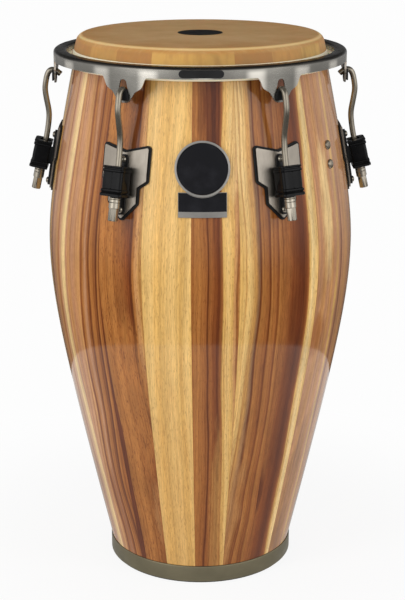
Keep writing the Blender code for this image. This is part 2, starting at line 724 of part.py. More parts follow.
def make_rim():
    rim = turned_piece("tension_rim", rim_section(), RIM_STEPS, RIM_PHASE)
    near = RIM_R - 4 * RIM_T
    far = RIM_R + 4 * RIM_T
    ear = prism_mesh("ear", mirrored(ear_half()), near - 4 * RIM_T, far + 2 * RIM_T)
    ears = add_cutter("ear_shapes", gathered("ear_shapes", [(ear, turn_to(a)) for a in station_azimuths()]))
    low = EAR_BOTTOM_Z - 2 * RIM_T
    skirt = turned("skirt", [(far, RIM_BAND_Z), (far, low), (near, low), (near, RIM_BAND_Z)], RIM_STEPS // 2,
                   closed=True)
    waste = add_cutter("skirt_between_ears", skirt)
    boolean(waste, ears)
    boolean(rim, waste)
    slot = prism_mesh("slot", mirrored(slot_half()), near, far)
    slots = add_cutter("slot_shapes", gathered("slot_shapes", [(slot, turn_to(a)) for a in station_azimuths()]))
    boolean(rim, slots)


def insert_mesh():
    """A moulded seat that plugs the foot of a slot and has a flange in front of the ear."""
    bottom = SLOT_BOTTOM_Z + CLEARANCE
    foot = SLOT_FOOT_HALF - CLEARANCE
    plug = mirrored([(SLOT_NECK_R - CLEARANCE, HOOK_SEAT_Z - INSERT_TOP_DROP), INSERT_FLARE,
                     (foot, SLOT_FOOT_Z - INSERT_FOOT_DROP), (foot, bottom)])
    flange = grown(plug, INSERT_FLANGE_GROWTH)
    ear_out = RIM_R + 2 * CLEARANCE
    sections = [(RIM_R - RIM_T - INSERT_INNER_T, plug), (ear_out, plug), (ear_out, flange),
                (ear_out + INSERT_FLANGE_T, flange)]
    bm = bmesh.new()
    rings = [[bm.verts.new((r, s, z)) for s, z in outline] for r, outline in sections]
    for near, far in zip(rings, rings[1:]):
        for i in range(len(near)):
            k = (i + 1) % len(near)
            bm.faces.new((near[i], near[k], far[k], far[i]))
    bm.faces.new(rings[0])
    bm.faces.new(rings[-1])
    return mesh_of(bm, "ear_insert")


def make_inserts():
    seat = insert_mesh()
    inner, outer = [Vector((RIM_R + out, 0, HOOK_SEAT_Z + up)) for out, up in (CROOK[0], CROOK[3])]
    reach = 4 * HOOK_ROD_R
    radius = (HOOK_ROD_R + CLEARANCE) / math.cos(math.pi / GROOVE_STEPS)
    groove = rod_mesh("seat_groove", radius, -reach, reach, GROOVE_STEPS, outer, outer - inner)
    seat = shaped("ear_insert", seat, [("DIFFERENCE", groove)])
    for i, azimuth in enumerate(station_azimuths(), 1):
        add_piece(f"ear_insert_{i}", seat, turn_to(azimuth))


# Tuning lugs

def axis_point(down, aside=0.0):
    """A point on the hook's leaning axis, in a station's (outward, across, up) directions."""
    r = shell_r(AXIS_Z) + HOOK_STANDOFF
    return Vector((r + down * math.sin(HOOK_LEAN), aside, AXIS_Z - down * math.cos(HOOK_LEAN)))


def axis_matrix(down):
    """Local +Z runs up the hook's axis, and local +X outward."""
    return Matrix.Translation(axis_point(down)) @ Matrix.Rotation(-HOOK_LEAN, 4, "Y")


def hook_route():
    """The rod's centre line: the crook over the ear, the swan neck and the straight threaded end."""
    crook = [(RIM_R + out, HOOK_SEAT_Z + up) for out, up in CROOK]
    top = (RIM_R + CROOK[-1][0] + NECK_START_OUT, HOOK_SEAT_Z - NECK_START_DROP)
    bottom = axis_point(-NECK_END_RISE / math.cos(HOOK_LEAN))
    neck = [(top[0] + (bottom.x - top[0]) * t + bow, top[1] + (bottom.z - top[1]) * t) for t, bow in NECK_BOW]
    straight = [tuple(axis_point(down).xz) for down in (-NECK_END_RISE / 2, NECK_END_RISE, HOOK_THREAD_END)]
    return crook + [top] + neck + straight


def swept_rod(name, route, radius, spacing):
    """A round rod along a smooth route in the station's plane."""
    curve = bpy.data.curves.new(name, "CURVE")
    curve.dimensions = "3D"
    curve.bevel_depth = radius
    curve.bevel_resolution = 2
    curve.use_fill_caps = True
    path = smooth_path(route, spacing)
    spline = curve.splines.new("POLY")
    spline.points.add(len(path) - 1)
    for point, (r, z) in zip(spline.points, path):
        point.co = (r, 0, z, 1)
    obj = bpy.data.objects.new(name, curve)
    cutters.objects.link(obj)
    mesh = baked(obj, name)
    bpy.data.curves.remove(curve)
    bm = bmesh.new()
    bm.from_mesh(mesh)
    bpy.data.meshes.remove(mesh)
    bmesh.ops.remove_doubles(bm, verts=bm.verts, dist=MERGE_DISTANCE)
    return mesh_of(bm, name)


def make_hooks():
    mesh = swept_rod("tuning_hook", hook_route(), HOOK_ROD_R, HOOK_SPACING)
    round_shading(mesh)
    origin = axis_point(0)
    mesh.transform(Matrix.Translation(-origin))
    for i, azimuth in enumerate(station_azimuths(), 1):
        add_piece(f"tuning_hook_{i}", mesh, turn_to(azimuth) @ Matrix.Translation(origin))


def nut_start():
    """Where the nut's collar begins, along the hook's axis."""
    return SLEEVE_START + SLEEVE_LENGTH + CLEARANCE + NUT_WASHER_T + CLEARANCE


def make_nuts():
    """A round collar and a long hexagon in one piece, bored for the rod."""
    bore = HOOK_ROD_R + HOOK_BORE_CLEARANCE
    length = NUT_COLLAR_L + NUT_HEX_L
    collar = rod_mesh("collar", NUT_COLLAR_R, -NUT_COLLAR_L, 0, SLEEVE_STEPS)
    hexagon = rod_mesh("hexagon", NUT_HEX_R, -length, -NUT_COLLAR_L / 2, 6)
    hole = rod_mesh("bore", bore, -length - OVERSHOOT, OVERSHOOT, SMALL_STEPS)
    mesh = shaped("tuning_nut", collar, [("UNION", hexagon), ("DIFFERENCE", hole)])
    round_shading(mesh)
    washer = turned("nut_washer", ring_points(bore, NUT_WASHER_R, -NUT_WASHER_T, 0), SMALL_STEPS,
                    closed=True)
    above = SLEEVE_START + SLEEVE_LENGTH + CLEARANCE
    for i, azimuth in enumerate(station_azimuths(), 1):
        add_piece(f"tuning_nut_{i}", mesh, turn_to(azimuth) @ axis_matrix(nut_start()))
        add_piece(f"nut_washer_{i}", washer, turn_to(azimuth) @ axis_matrix(above))


def ring_points(inner, outer, low, high):
    return [(outer, high), (outer, low), (inner, low), (inner, high)]


def plate_outline():
    half = [(0.0, PLATE_VALLEY_Z), (PLATE_HALF_W, PLATE_TOP_Z), (PLATE_HALF_W, PLATE_WING_Z),
            (PLATE_WAIST_HALF, PLATE_WAIST_TOP_Z), (PLATE_WAIST_HALF, PLATE_WAIST_LOW_Z), (0.0, PLATE_TIP_Z)]
    return mirrored(half)


def strap_outline():
    half = STRAP_W / 2
    top = UPPER_SCREW_Z + STRAP_END_MARGIN
    bottom = LOWER_SCREW_Z - STRAP_END_MARGIN
    return rounded([(-half, bottom), (half, bottom), (half, top), (-half, top)], half * STRAP_ROUNDING, 2)


def local_screw_holes():
    """Two cutters for the sheets that are stacked at a station, in local directions."""
    reach = 3 * WALL
    hole = rod_mesh("hole", SCREW_R + SCREW_HOLE_CLEARANCE, -reach, reach, SMALL_STEPS)
    to_local = turn_to(FIRST_STATION).inverted()
    placed = [(hole, to_local @ surface_frame(FIRST_STATION, z)) for z in SCREW_HEIGHTS]
    return gathered("sheet_holes", placed)


def stack_levels():
    """Heights above the shell of the gasket's, plate's and strap's faces."""
    gasket = (CLEARANCE, CLEARANCE + GASKET_T)
    plate = (gasket[1] + CLEARANCE, gasket[1] + CLEARANCE + PLATE_T)
    strap = (plate[1] + CLEARANCE, plate[1] + CLEARANCE + STRAP_T)
    return gasket, plate, strap


def bracket_mesh(strap_faces):
    """A strap with a web, a sleeve that the hook's rod passes through, and its two screws."""
    strap = wrapped("strap", strap_outline(), *strap_faces)
    end = SLEEVE_START + SLEEVE_LENGTH
    frame = axis_matrix(0)
    sleeve = rod_mesh("sleeve", SLEEVE_R, -end, -SLEEVE_START, SLEEVE_STEPS)
    middle_z = axis_point(end / 2).z
    foot = shell_r(middle_z) + (strap_faces[0] + strap_faces[1]) / 2 - axis_point(end / 2).x
    web = box_mesh("web", (foot, -WEB_HALF, WEB_MARGIN - end), (0, WEB_HALF, -SLEEVE_START - WEB_MARGIN))
    bore = rod_mesh("bore", HOOK_ROD_R + HOOK_BORE_CLEARANCE, -end - OVERSHOOT, OVERSHOOT, SMALL_STEPS)
    for mesh in (sleeve, web, bore):
        mesh.transform(frame)
    seat = strap_faces[1] - CLEARANCE
    screw = through_screw("bracket_screw", SCREW_R, SCREW_HEAD_R, SCREW_HEAD_H, SCREW_NUT_R, seat)
    to_local = turn_to(FIRST_STATION).inverted()
    screws = [(screw, to_local @ surface_frame(FIRST_STATION, z)) for z in SCREW_HEIGHTS]
    return shaped("lug_bracket", strap, [("UNION", web), ("UNION", sleeve), ("DIFFERENCE", bore),
                                         ("UNION", gathered("bracket_screws", screws))])


def jacket_mesh():
    """A ribbed rubber block, lofted down the hook's axis and hollowed for the sleeve and its web."""
    def outline(growth):
        out = JACKET_OUTER + growth
        back = JACKET_INNER + growth
        half = JACKET_W / 2 + growth
        cut = JACKET_CORNER
        back_cut = JACKET_BACK_CORNER
        return [(out - cut, half), (out, half - cut), (out, cut - half), (out - cut, -half),
                (back_cut - back, -half), (-back, back_cut - half), (-back, half - back_cut),
                (back_cut - back, half)]

    bm = bmesh.new()
    levels = list(JACKET_RIBS) + [(JACKET_LENGTH, JACKET_RIBS[-1][1])]
    rings = []
    for down, growth in levels:
        rings.append([bm.verts.new((x, y, -JACKET_START - down)) for x, y in outline(growth)])
    for upper, lower in zip(rings, rings[1:]):
        for i in range(len(upper)):
            k = (i + 1) % len(upper)
            bm.faces.new((upper[i], upper[k], lower[k], lower[i]))
    bm.faces.new(rings[0])
    bm.faces.new(rings[-1])
    block = mesh_of(bm, "jacket_block")
    end = SLEEVE_START + SLEEVE_LENGTH
    hole = rod_mesh("sleeve_room", SLEEVE_R + CLEARANCE, -end - OVERSHOOT, OVERSHOOT, SLEEVE_STEPS)
    room = box_mesh("web_room", (-2 * JACKET_INNER, -WEB_HALF - CLEARANCE, -end - OVERSHOOT),
                    (0, WEB_HALF + CLEARANCE, OVERSHOOT))
    mesh = shaped("receiver_jacket", block, [("DIFFERENCE", hole), ("DIFFERENCE", room)])
    mesh.transform(axis_matrix(0))
    return mesh


def make_lugs():
    gasket_faces, plate_faces, strap_faces = stack_levels()
    outline = plate_outline()
    holes = local_screw_holes()
    plate = wrapped("side_plate", rounded(outline, PLATE_CORNER_R, 1), *plate_faces)
    gasket_outline = rounded(grown(outline, GASKET_BORDER), PLATE_CORNER_R + GASKET_BORDER, 2)
    gasket = wrapped("plate_gasket", gasket_outline, *gasket_faces)
    meshes = {
        "side_plate": shaped("side_plate", plate, [("DIFFERENCE", holes)]),
        "plate_gasket": shaped("plate_gasket", gasket, [("DIFFERENCE", holes.copy())]),
        "lug_bracket": bracket_mesh(strap_faces),
        "receiver_jacket": jacket_mesh(),
    }
    for name, mesh in meshes.items():
        for i, azimuth in enumerate(station_azimuths(), 1):
            add_piece(f"{name}_{i}", mesh, turn_to(azimuth))


# Fasteners

def through_screw(name, radius, head_r, head_h, nut_r, lift):
    """A domed screw through the shell with its washer and nut inside. Local z = 0 is the shell's face."""
    inside = -WALL - 2 * CLEARANCE
    nut_top = inside - SCREW_WASHER_T
    nut_low = nut_top - SCREW_NUT_H
    end = nut_low - THREAD_STICKS_OUT
    shoulder = (head_r * SCREW_SHOULDER[0], lift + head_h * SCREW_SHOULDER[1])
    points = [(0, lift + head_h), shoulder, (head_r, lift), (radius, lift), (radius, inside),
              (SCREW_WASHER_R, inside), (SCREW_WASHER_R, nut_top), (nut_r, nut_top), (nut_r, nut_low),
              (radius, nut_low), (radius, end), (0, end)]
    return turned(name, points, SMALL_STEPS)


def make_side_bolts():
    nut_r = SCREW_NUT_R + SIDE_BOLT_R - SCREW_R
    bolt = through_screw("side_bolt", SIDE_BOLT_R, SIDE_BOLT_HEAD_R, SIDE_BOLT_HEAD_H, nut_r, CLEARANCE)
    for i, height in enumerate(SIDE_BOLT_HEIGHTS, 1):
        add_piece(f"side_bolt_{i}", bolt, surface_frame(SIDE_BOLT_AZIMUTH, height))


# Badge and name plate

def name_plate_outline():
    """A rectangle whose top edge gives way to the round badge."""
    half = NAME_PLATE_W / 2
    notch_r = BADGE_R + CLEARANCE
    across = math.sqrt(notch_r ** 2 - (BADGE_Z - NAME_PLATE_TOP_Z) ** 2)
    spread = math.asin(across / notch_r)
    steps = NOTCH_STEPS
    arc = [(notch_r * math.sin(a), BADGE_Z - notch_r * math.cos(a))
           for a in (spread - 2 * spread * k / steps for k in range(steps + 1))]
    return [(-half, NAME_PLATE_BOTTOM_Z), (half, NAME_PLATE_BOTTOM_Z), (half, NAME_PLATE_TOP_Z)] + arc + [
        (-half, NAME_PLATE_TOP_Z)]


def make_badge():
    front = turn_to(0)
    disc_r = BADGE_R - BEZEL_W - CLEARANCE
    disc = wrapped("badge_disc", circle(disc_r, BADGE_STEPS, (0, BADGE_Z)), CLEARANCE, CLEARANCE + BADGE_T)
    bezel = wrapped("badge_bezel", circle(BADGE_R, BADGE_STEPS, (0, BADGE_Z)), CLEARANCE, CLEARANCE + BEZEL_T,
                    hole=circle(BADGE_R - BEZEL_W, BADGE_STEPS, (0, BADGE_Z)))
    plate = wrapped("name_plate", name_plate_outline(), CLEARANCE, CLEARANCE + NAME_PLATE_T)
    for mesh in (disc, bezel, plate):
        add_piece(mesh.name, mesh, front)


clear_scene()
parts = new_collection("conga")
cutters = new_collection("cutters")
make_shell()
make_foot()
make_head()
make_flesh_hoop()
make_rim()
make_inserts()
make_hooks()
make_nuts()
make_lugs()
make_side_bolts()
make_badge()
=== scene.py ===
"""Dresses the packed conga: lacquered staves, rawhide head, hooked rim and tuning lugs, on a studio sheet.

Metres, +Z up. Azimuth 0 is the badge side (-Y) and azimuths grow towards +X. Local frames at a station
have +X outward, +Y across and +Z up.
"""
import math

import bmesh
import bpy
from bpy.props import FloatProperty, FloatVectorProperty, PointerProperty
from bpy.types import Operator, Panel, PropertyGroup
from mathutils import Matrix, Vector


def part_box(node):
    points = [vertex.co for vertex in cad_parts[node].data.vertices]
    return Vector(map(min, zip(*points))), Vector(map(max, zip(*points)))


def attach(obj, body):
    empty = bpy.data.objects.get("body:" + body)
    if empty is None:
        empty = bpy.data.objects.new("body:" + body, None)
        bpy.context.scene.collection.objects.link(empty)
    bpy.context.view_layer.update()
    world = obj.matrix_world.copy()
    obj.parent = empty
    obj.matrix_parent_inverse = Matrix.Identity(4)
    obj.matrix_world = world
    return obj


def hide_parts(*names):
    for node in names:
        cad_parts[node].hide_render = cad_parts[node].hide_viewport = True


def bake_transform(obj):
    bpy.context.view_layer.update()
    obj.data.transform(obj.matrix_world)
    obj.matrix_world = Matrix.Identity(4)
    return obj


bl_info = {
    "name": "Conga Dresser",
    "version": (1, 0, 0),
    "blender": (4, 5, 0),
    "location": "View3D > Sidebar > Conga",
    "description": "Builds the visible pieces and finishes of a conga drum over its packed parts",
    "category": "Object",
}

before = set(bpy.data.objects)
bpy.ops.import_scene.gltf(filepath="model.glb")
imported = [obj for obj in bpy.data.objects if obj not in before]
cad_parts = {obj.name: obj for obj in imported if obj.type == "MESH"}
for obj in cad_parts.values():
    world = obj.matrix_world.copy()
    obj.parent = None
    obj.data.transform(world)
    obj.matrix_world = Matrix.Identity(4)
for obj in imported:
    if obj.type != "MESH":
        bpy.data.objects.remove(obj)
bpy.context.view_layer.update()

STAVES = 20
STATIONS = 6
STAVE_SPAN = 2 * math.pi / STAVES
# Azimuths of the glued joints in degrees: the staves right of the badge are a little narrower
JOINTS = (-4.0, 13.2, 30.0, 47.0, *(64.5 + 18.25 * k for k in range(15)), 338.0)
FIRST_STATION = math.radians(30)
FOOT_BAND_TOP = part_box("base_ring")[1].z
FOOT_BAND_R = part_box("base_ring")[1].x
CUSHION_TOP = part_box("foot_cushion")[1].z
HEAD_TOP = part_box("drum_head")[1].z
# Clearance between pieces that touch
GAP = 0.0003
# Middle of the bearing edge's rounding: below the head's top, and inside the staves' outer face
EDGE_DROP = 0.0118
EDGE_INSET = 0.0100
# Spacing of the cuts in sheets bent onto the shell, and the narrowest strip they leave
SHEET_PITCH = 0.004
SLIVER = 0.0008

# Tones of the staves' timber, as they look on the finished drum
TONES = {
    "cream": (232, 200, 140),
    "pale": (222, 182, 114),
    "golden": (213, 169, 97),
    "honey": (194, 144, 80),
    "tan": (188, 136, 84),
    "pink": (181, 131, 94),
    "orange": (166, 108, 54),
    "rust": (148, 90, 44),
    "red": (126, 68, 31),
    "umber": (98, 48, 22),
    "dark": (64, 26, 14),
    "grey": (142, 102, 68),
    "plum": (130, 86, 64),
}
# Darkening of a timber tone by its dense late wood, and by its finest lines
LATE_WOOD = (0.60, 0.45, 0.33)
HAIR_LINES = (0.76, 0.66, 0.54)


def linear(rgb):
    """Scene colour of an sRGB tone written 0 to 255."""
    return tuple((c / 255 / 12.92) if c / 255 <= 0.04045 else ((c / 255 + 0.055) / 1.055) ** 2.4 for c in rgb)


def toned(rgb, factor):
    """A colour made darker or lighter by a factor."""
    return tuple(c * factor for c in rgb)


def length(name, default, description):
    return FloatProperty(name=name, description=description, default=default, min=0.0, unit="LENGTH",
                         subtype="DISTANCE", precision=4)


def colour(name, rgb, description):
    return FloatVectorProperty(name=name, description=description, default=linear(rgb), size=3, min=0.0, max=1.0,
                               subtype="COLOR")


def share(name, default, description):
    return FloatProperty(name=name, description=description, default=default, min=0.0, max=1.0, subtype="FACTOR")


def turn(name, degrees, description):
    return FloatProperty(name=name, description=description, default=math.radians(degrees), subtype="ANGLE",
                         unit="ROTATION")


class ShellSettings(PropertyGroup):
    """Sizes and finish of the staved shell"""
    wall: length("Wall", 0.0112, "Thickness of the staves")
    belly_r: length("Belly Radius", 0.2123, "Outer radius at the widest point")
    belly_z: length("Belly Height", 0.475, "Height of the widest point")
    foot_r: length("Foot Radius", 0.1314, "Outer radius above the foot band")
    shoulder_r: length("Shoulder Radius", 0.1702, "Outer radius just under the head")
    shoulder_z: length("Shoulder Height", 0.740, "Height at which the shoulder radius is measured")
    lower_bend: length("Lower Bend", 0.0312, "How gently the staves bend below the belly")
    upper_bend: length("Upper Bend", 0.0192, "How gently the staves bend above the belly")
    edge_r: length("Edge Rounding", 0.0097, "Rounding of the bearing edge")
    grain_wander: length("Grain Wander", 0.0050, "How far the colour bands wander sideways along a stave")
    lacquer: share("Lacquer", 1.0, "Strength of the clear gloss coat")
    lacquer_roughness: share("Lacquer Roughness", 0.07, "Roughness of the clear gloss coat")
    inside_colour: colour("Inside", (120, 84, 54), "Stain on the inside of the shell")


class FootSettings(PropertyGroup):
    """Metal band and rubber pad under the shell"""
    edge: length("Band Edge", 0.0012, "Rounding of the band's edges")
    band_colour: colour("Band", (136, 128, 104), "Antique nickel of the foot band")
    band_roughness: share("Band Roughness", 0.34, "Roughness of the foot band")


class HeadSettings(PropertyGroup):
    """Rawhide head"""
    skin_t: length("Skin", 0.0015, "Thickness of the rawhide")
    edge_r: length("Edge Radius", 0.0115, "Outer rounding of the skin over the bearing edge")
    hoop_r: length("Hoop Radius", 0.1813, "Radius of the flesh hoop")
    hoop_z: length("Hoop Height", 0.728, "Height of the flesh hoop")
    tuck_r: length("Tuck Radius", 0.0058, "Outer radius of the skin wrapped round the hoop")
    disc_r: length("Centre Disc Radius", 0.0308, "Radius of the bare black disc in the middle")
    skin_colour: colour("Skin", (184, 144, 90), "Middle tone of the rawhide")
    skin_warm: colour("Skin Warm", (180, 126, 62), "Warm tone of the rawhide towards its edge")
    # Pale tone of the tuck, partly the skin's own and partly painted highlight
    tuck_pale_and_highlight: colour("Skin Pale", (250, 236, 206), "Pale tone where the skin is tucked round the hoop")


class RimSettings(PropertyGroup):
    """Steel tension rim with its hanging ears"""
    radius: length("Radius", 0.200, "Outer radius of the rim")
    sheet: length("Sheet", 0.0025, "Thickness of the steel")
    top_z: length("Top Height", 0.7423, "Height of the rim's top")
    band_z: length("Band Height", 0.7275, "Height of the band's lower edge")
    round_r: length("Top Rounding", 0.0045, "Rounding between the band and the top")
    lip_r: length("Lip Radius", 0.1825, "Inner radius of the lip on the flesh hoop")
    colour: colour("Rim", (146, 143, 136), "Satin nickel of the rim")
    roughness: share("Rim Roughness", 0.25, "Roughness of the rim")


class LugSettings(PropertyGroup):
    """Tuning hooks, brackets, jackets, nuts and side plates"""
    rod_r: length("Rod Radius", 0.0039, "Radius of the tuning hooks")
    lean: turn("Lean", 13.0, "Lean of the hooks' axes towards the head")
    axis_r: length("Axis Radius", 0.213895, "Radius of a hook's axis at the axis height")
    axis_z: length("Axis Height", 0.6164, "Height at which the axis radius is measured")
    seat_z: length("Seat Height", 0.7135, "Height at which a hook rests in its ear")
    sleeve_r: length("Sleeve Radius", 0.0075, "Radius of the bracket's sleeve")
    nut_r: length("Nut Radius", 0.00725, "Radius of the tuning nut's collar")
    nickel: colour("Nickel", (166, 158, 144), "Warm nickel plating of nuts, washers and screws")
    hook_colour: colour("Hook", (146, 138, 124), "Darker nickel plating of the hooks")
    nickel_roughness: share("Nickel Roughness", 0.13, "Roughness of the nickel plating")
    plate_colour: colour("Side Plate", (160, 152, 141), "Satin steel of the side plates")
    rubber: colour("Rubber", (10, 10, 11), "Rubber of jackets and gaskets")


class BadgeSettings(PropertyGroup):
    """Bare badge and name plate"""
    height: length("Badge Height", 0.613, "Height of the middle of the badge")
    radius: length("Badge Radius", 0.0353, "Outer radius of the bezel")
    bezel_w: length("Bezel Width", 0.0026, "Width of the bezel")
    plate_w: length("Plate Width", 0.0625, "Width of the name plate")
    enamel: colour("Enamel", (22, 22, 25), "Black enamel")
    metal: colour("Metal", (150, 147, 142), "Satin metal of bezel and name plate")


class StageSettings(PropertyGroup):
    """Studio sheet, lamps and camera"""
    camera_distance: length("Camera Distance", 2.145, "From the drum's axis to the camera, level")
    camera_z: length("Camera Height", 1.022, "Height of the camera")
    camera_pitch: turn("Camera Pitch", 16.64, "How far the camera looks down")
    camera_turn: turn("Camera Turn", -0.8, "Azimuth of the camera round the drum")
    camera_yaw: turn("Camera Yaw", 0.084, "How far the camera looks to the right of the drum")
    lens: FloatProperty(name="Lens", description="Focal length in millimetres", default=93.7, min=1.0)
    sheet_r: length("Sheet Radius", 0.765, "Radius of the round white sheet under the drum")
    sheet_glow: FloatProperty(name="Sheet Glow", description="Brightness of the sheet in shiny surfaces", default=1.15)
    key_power: FloatProperty(name="Key Power", description="Power of the main softbox in watts", default=26.0)
    fill_power: FloatProperty(name="Fill Power", description="Power of the second softbox in watts", default=16.0)
    panels: FloatProperty(name="Panels", description="Brightness of the softboxes in shiny surfaces", default=1.7)
    sky: share("Sky", 0.62, "Strength of the soft light all round")


# Frames and outlines

def bulge(shell, height, end_r, end_z, bend):
    """Outer radius on one side of the belly: a hyperbola that meets the end's radius."""
    drop = shell.belly_r - end_r
    slope = math.sqrt((bend + drop) ** 2 - bend ** 2) / abs(end_z - shell.belly_z)
    return shell.belly_r + bend - math.hypot(bend, slope * (height - shell.belly_z))


def shell_radius(height):
    """Outer radius of the staves at a height."""
    shell = bpy.context.scene.conga_shell
    if height < shell.belly_z:
        return bulge(shell, height, shell.foot_r, FOOT_BAND_TOP, shell.lower_bend)
    return bulge(shell, height, shell.shoulder_r, shell.shoulder_z, shell.upper_bend)


def shell_slope(height):
    """Angle above the level at which the shell's outward normal points."""
    step = 0.002
    return math.atan2(shell_radius(height - step) - shell_radius(height + step), 2 * step)


def turn_to(azimuth):
    """Turns local +X, the outward direction, to an azimuth."""
    return Matrix.Rotation(azimuth - math.pi / 2, 4, "Z")


def edge_centre():
    """(radius, height) of the middle of the bearing edge's rounding, for staves and hide alike."""
    height = HEAD_TOP - EDGE_DROP
    slope = math.tan(shell_slope(height))
    return shell_radius(height) - EDGE_INSET * math.hypot(1, slope), height


def surface_frame(azimuth, height, lift=0.0):
    """Local +Z leaves the shell squarely at this azimuth and height."""
    lean = shell_slope(height)
    turned = turn_to(azimuth)
    normal = turned @ Vector((math.cos(lean), 0, math.sin(lean)))
    origin = turned @ Vector((shell_radius(height), 0, height)) + normal * lift
    return Matrix.Translation(origin) @ normal.to_track_quat("Z", "Y").to_matrix().to_4x4()


def axis_point(down):
    """A point on a hook's leaning axis, in its station's frame."""
    lugs = bpy.context.scene.conga_lugs
    return Vector((lugs.axis_r + down * math.sin(lugs.lean), 0, lugs.axis_z - down * math.cos(lugs.lean)))


def axis_matrix(down):
    """Local +Z runs up the hook's axis and local +X outward."""
    lean = bpy.context.scene.conga_lugs.lean
    return Matrix.Translation(axis_point(down)) @ Matrix.Rotation(-lean, 4, "Y")


def stations():
    """(number, azimuth) of each tuning station."""
    return [(i + 1, FIRST_STATION + i * 2 * math.pi / STATIONS) for i in range(STATIONS)]


def smooth_path(points, spacing):
    """Points about a set distance apart on a smooth curve through the given points."""
    result = []
    padded = [points[0]] + list(points) + [points[-1]]
    for a, b, c, d in zip(padded, padded[1:], padded[2:], padded[3:]):
        steps = max(1, round(math.dist(b, c) / spacing))
        for k in range(steps):
            t = k / steps
            result.append(tuple(0.5 * (2 * q + (r - p) * t + (2 * p - 5 * q + 4 * r - s) * t * t
                                       + (3 * q - p - 3 * r + s) * t ** 3)
                                for p, q, r, s in zip(a, b, c, d)))
    return result + [tuple(points[-1])]


def eased(points, times):
    """Evens out the bends of an open path and keeps its ends."""
    for _ in range(times):
        middle = [tuple((a + 2 * b + c) / 4 for a, b, c in zip(p, q, r))
                  for p, q, r in zip(points, points[1:], points[2:])]
        points = [points[0]] + middle + [points[-1]]
    return points


def arc(centre, radius, first, last, steps):
    """Points on an arc, angles in degrees."""
    angles = [math.radians(first + (last - first) * k / steps) for k in range(steps + 1)]
    return [(centre[0] + radius * math.cos(a), centre[1] + radius * math.sin(a)) for a in angles]


def mirrored(half):
    """Closed outline from the right half's points."""
    return list(half) + [(-s, z) for s, z in reversed(half) if s > 0]


def rounded(outline, radius, steps=5):
    """Rounds each corner of a closed outline with an arc."""
    result = []
    count = len(outline)
    for i, point in enumerate(outline):
        corner = Vector(point)
        before = Vector(outline[i - 1]) - corner
        after = Vector(outline[(i + 1) % count]) - corner
        half = before.angle(after) / 2
        cut = min(radius / math.tan(half), 0.45 * before.length, 0.45 * after.length)
        reach = cut * math.tan(half)
        centre = corner + (before.normalized() + after.normalized()).normalized() * math.hypot(cut, reach)
        first = corner + before.normalized() * cut - centre
        last = corner + after.normalized() * cut - centre
        for k in range(steps + 1):
            result.append(tuple(centre + first.lerp(last, k / steps).normalized() * reach))
    return result


def grown(outline, distance):
    """Offsets a closed outline outwards."""
    area = sum(a[0] * b[1] - b[0] * a[1] for a, b in zip(outline, outline[1:] + outline[:1]))
    side = 1 if area > 0 else -1
    result = []
    for i, corner in enumerate(outline):
        along = [Vector(corner) - Vector(outline[i - 1]), Vector(outline[(i + 1) % len(outline)]) - Vector(corner)]
        normals = [Vector((d.y, -d.x)).normalized() * side for d in along]
        middle = (normals[0] + normals[1]).normalized()
        result.append(tuple(Vector(corner) + middle * distance / middle.dot(normals[0])))
    return result


def circle(radius, steps, middle=(0.0, 0.0)):
    return arc(middle, radius, 0, 360 - 360 / steps, steps - 1)


# Mesh makers

def shown(name, data):
    """Puts a mesh, lamp or camera into the scene as an object."""
    obj = bpy.data.objects.new(name, data)
    bpy.context.scene.collection.objects.link(obj)
    return obj


def meshed(name, bm):
    """Turns a bmesh into a mesh."""
    mesh = bpy.data.meshes.new(name)
    bm.to_mesh(mesh)
    bm.free()
    return mesh


def finished(name, bm, material, matrix=None, sharp=32):
    """Turns a bmesh into an object with a material and smooth shading between sharp edges."""
    bmesh.ops.recalc_face_normals(bm, faces=bm.faces)
    mesh = meshed(name, bm)
    mesh.shade_smooth()
    mesh.set_sharp_from_angle(angle=math.radians(sharp))
    if matrix is not None:
        mesh.transform(matrix)
    mesh.materials.append(material)
    return shown(name, mesh)


def copied(source, name, matrix):
    """A copy of a piece and its softened edges, moved by a matrix, as its own object."""
    mesh = source.data.copy()
    mesh.transform(matrix)
    piece = shown(name, mesh)
    for bevel in source.modifiers:
        softened(piece, bevel.width, bevel.segments, math.degrees(bevel.angle_limit))
    return piece


def softened(obj, width, segments=2, angle=40):
    """Breaks the sharp edges of a piece."""
    bevel = obj.modifiers.new("edges", "BEVEL")
    bevel.width = width
    bevel.segments = segments
    bevel.limit_method = "ANGLE"
    bevel.angle_limit = math.radians(angle)
    bevel.harden_normals = True
    return obj


def lathed(name, profile, steps, material, matrix=None, closed=True, sharp=32):
    """Turns a (radius, height) profile about Z, with metres round and along it as texture coordinates."""
    bm = bmesh.new()
    layer = bm.loops.layers.uv.new("turned")
    columns = []
    for k in range(steps):
        a = 2 * math.pi * k / steps
        columns.append([bm.verts.new((r * math.cos(a), r * math.sin(a), z)) for r, z in profile])
    along = [0.0]
    for a, b in zip(profile, profile[1:]):
        along.append(along[-1] + math.dist(a, b))
    last = len(profile) if closed else len(profile) - 1
    mean_r = max(r for r, _ in profile)
    for k in range(steps):
        left, right = columns[k], columns[(k + 1) % steps]
        for i in range(last):
            j = (i + 1) % len(profile)
            corners = [(left[i], k, i), (right[i], k + 1, i), (right[j], k + 1, j), (left[j], k, j)]
            if profile[i][0] == 0:
                corners.pop(1)
            elif profile[j][0] == 0:
                corners.pop(2)
            face = bm.faces.new([v for v, _, _ in corners])
            for loop, (_, column, row) in zip(face.loops, corners):
                loop[layer].uv = (mean_r * 2 * math.pi * column / steps, along[row])
    bmesh.ops.remove_doubles(bm, verts=bm.verts, dist=0.0000005)
    return finished(name, bm, material, matrix, sharp)


def bridged(bm, near, far):
    """Joins two closed rings of the same number of points with faces."""
    for i in range(len(near)):
        k = (i + 1) % len(near)
        bm.faces.new((near[i], near[k], far[k], far[i]))


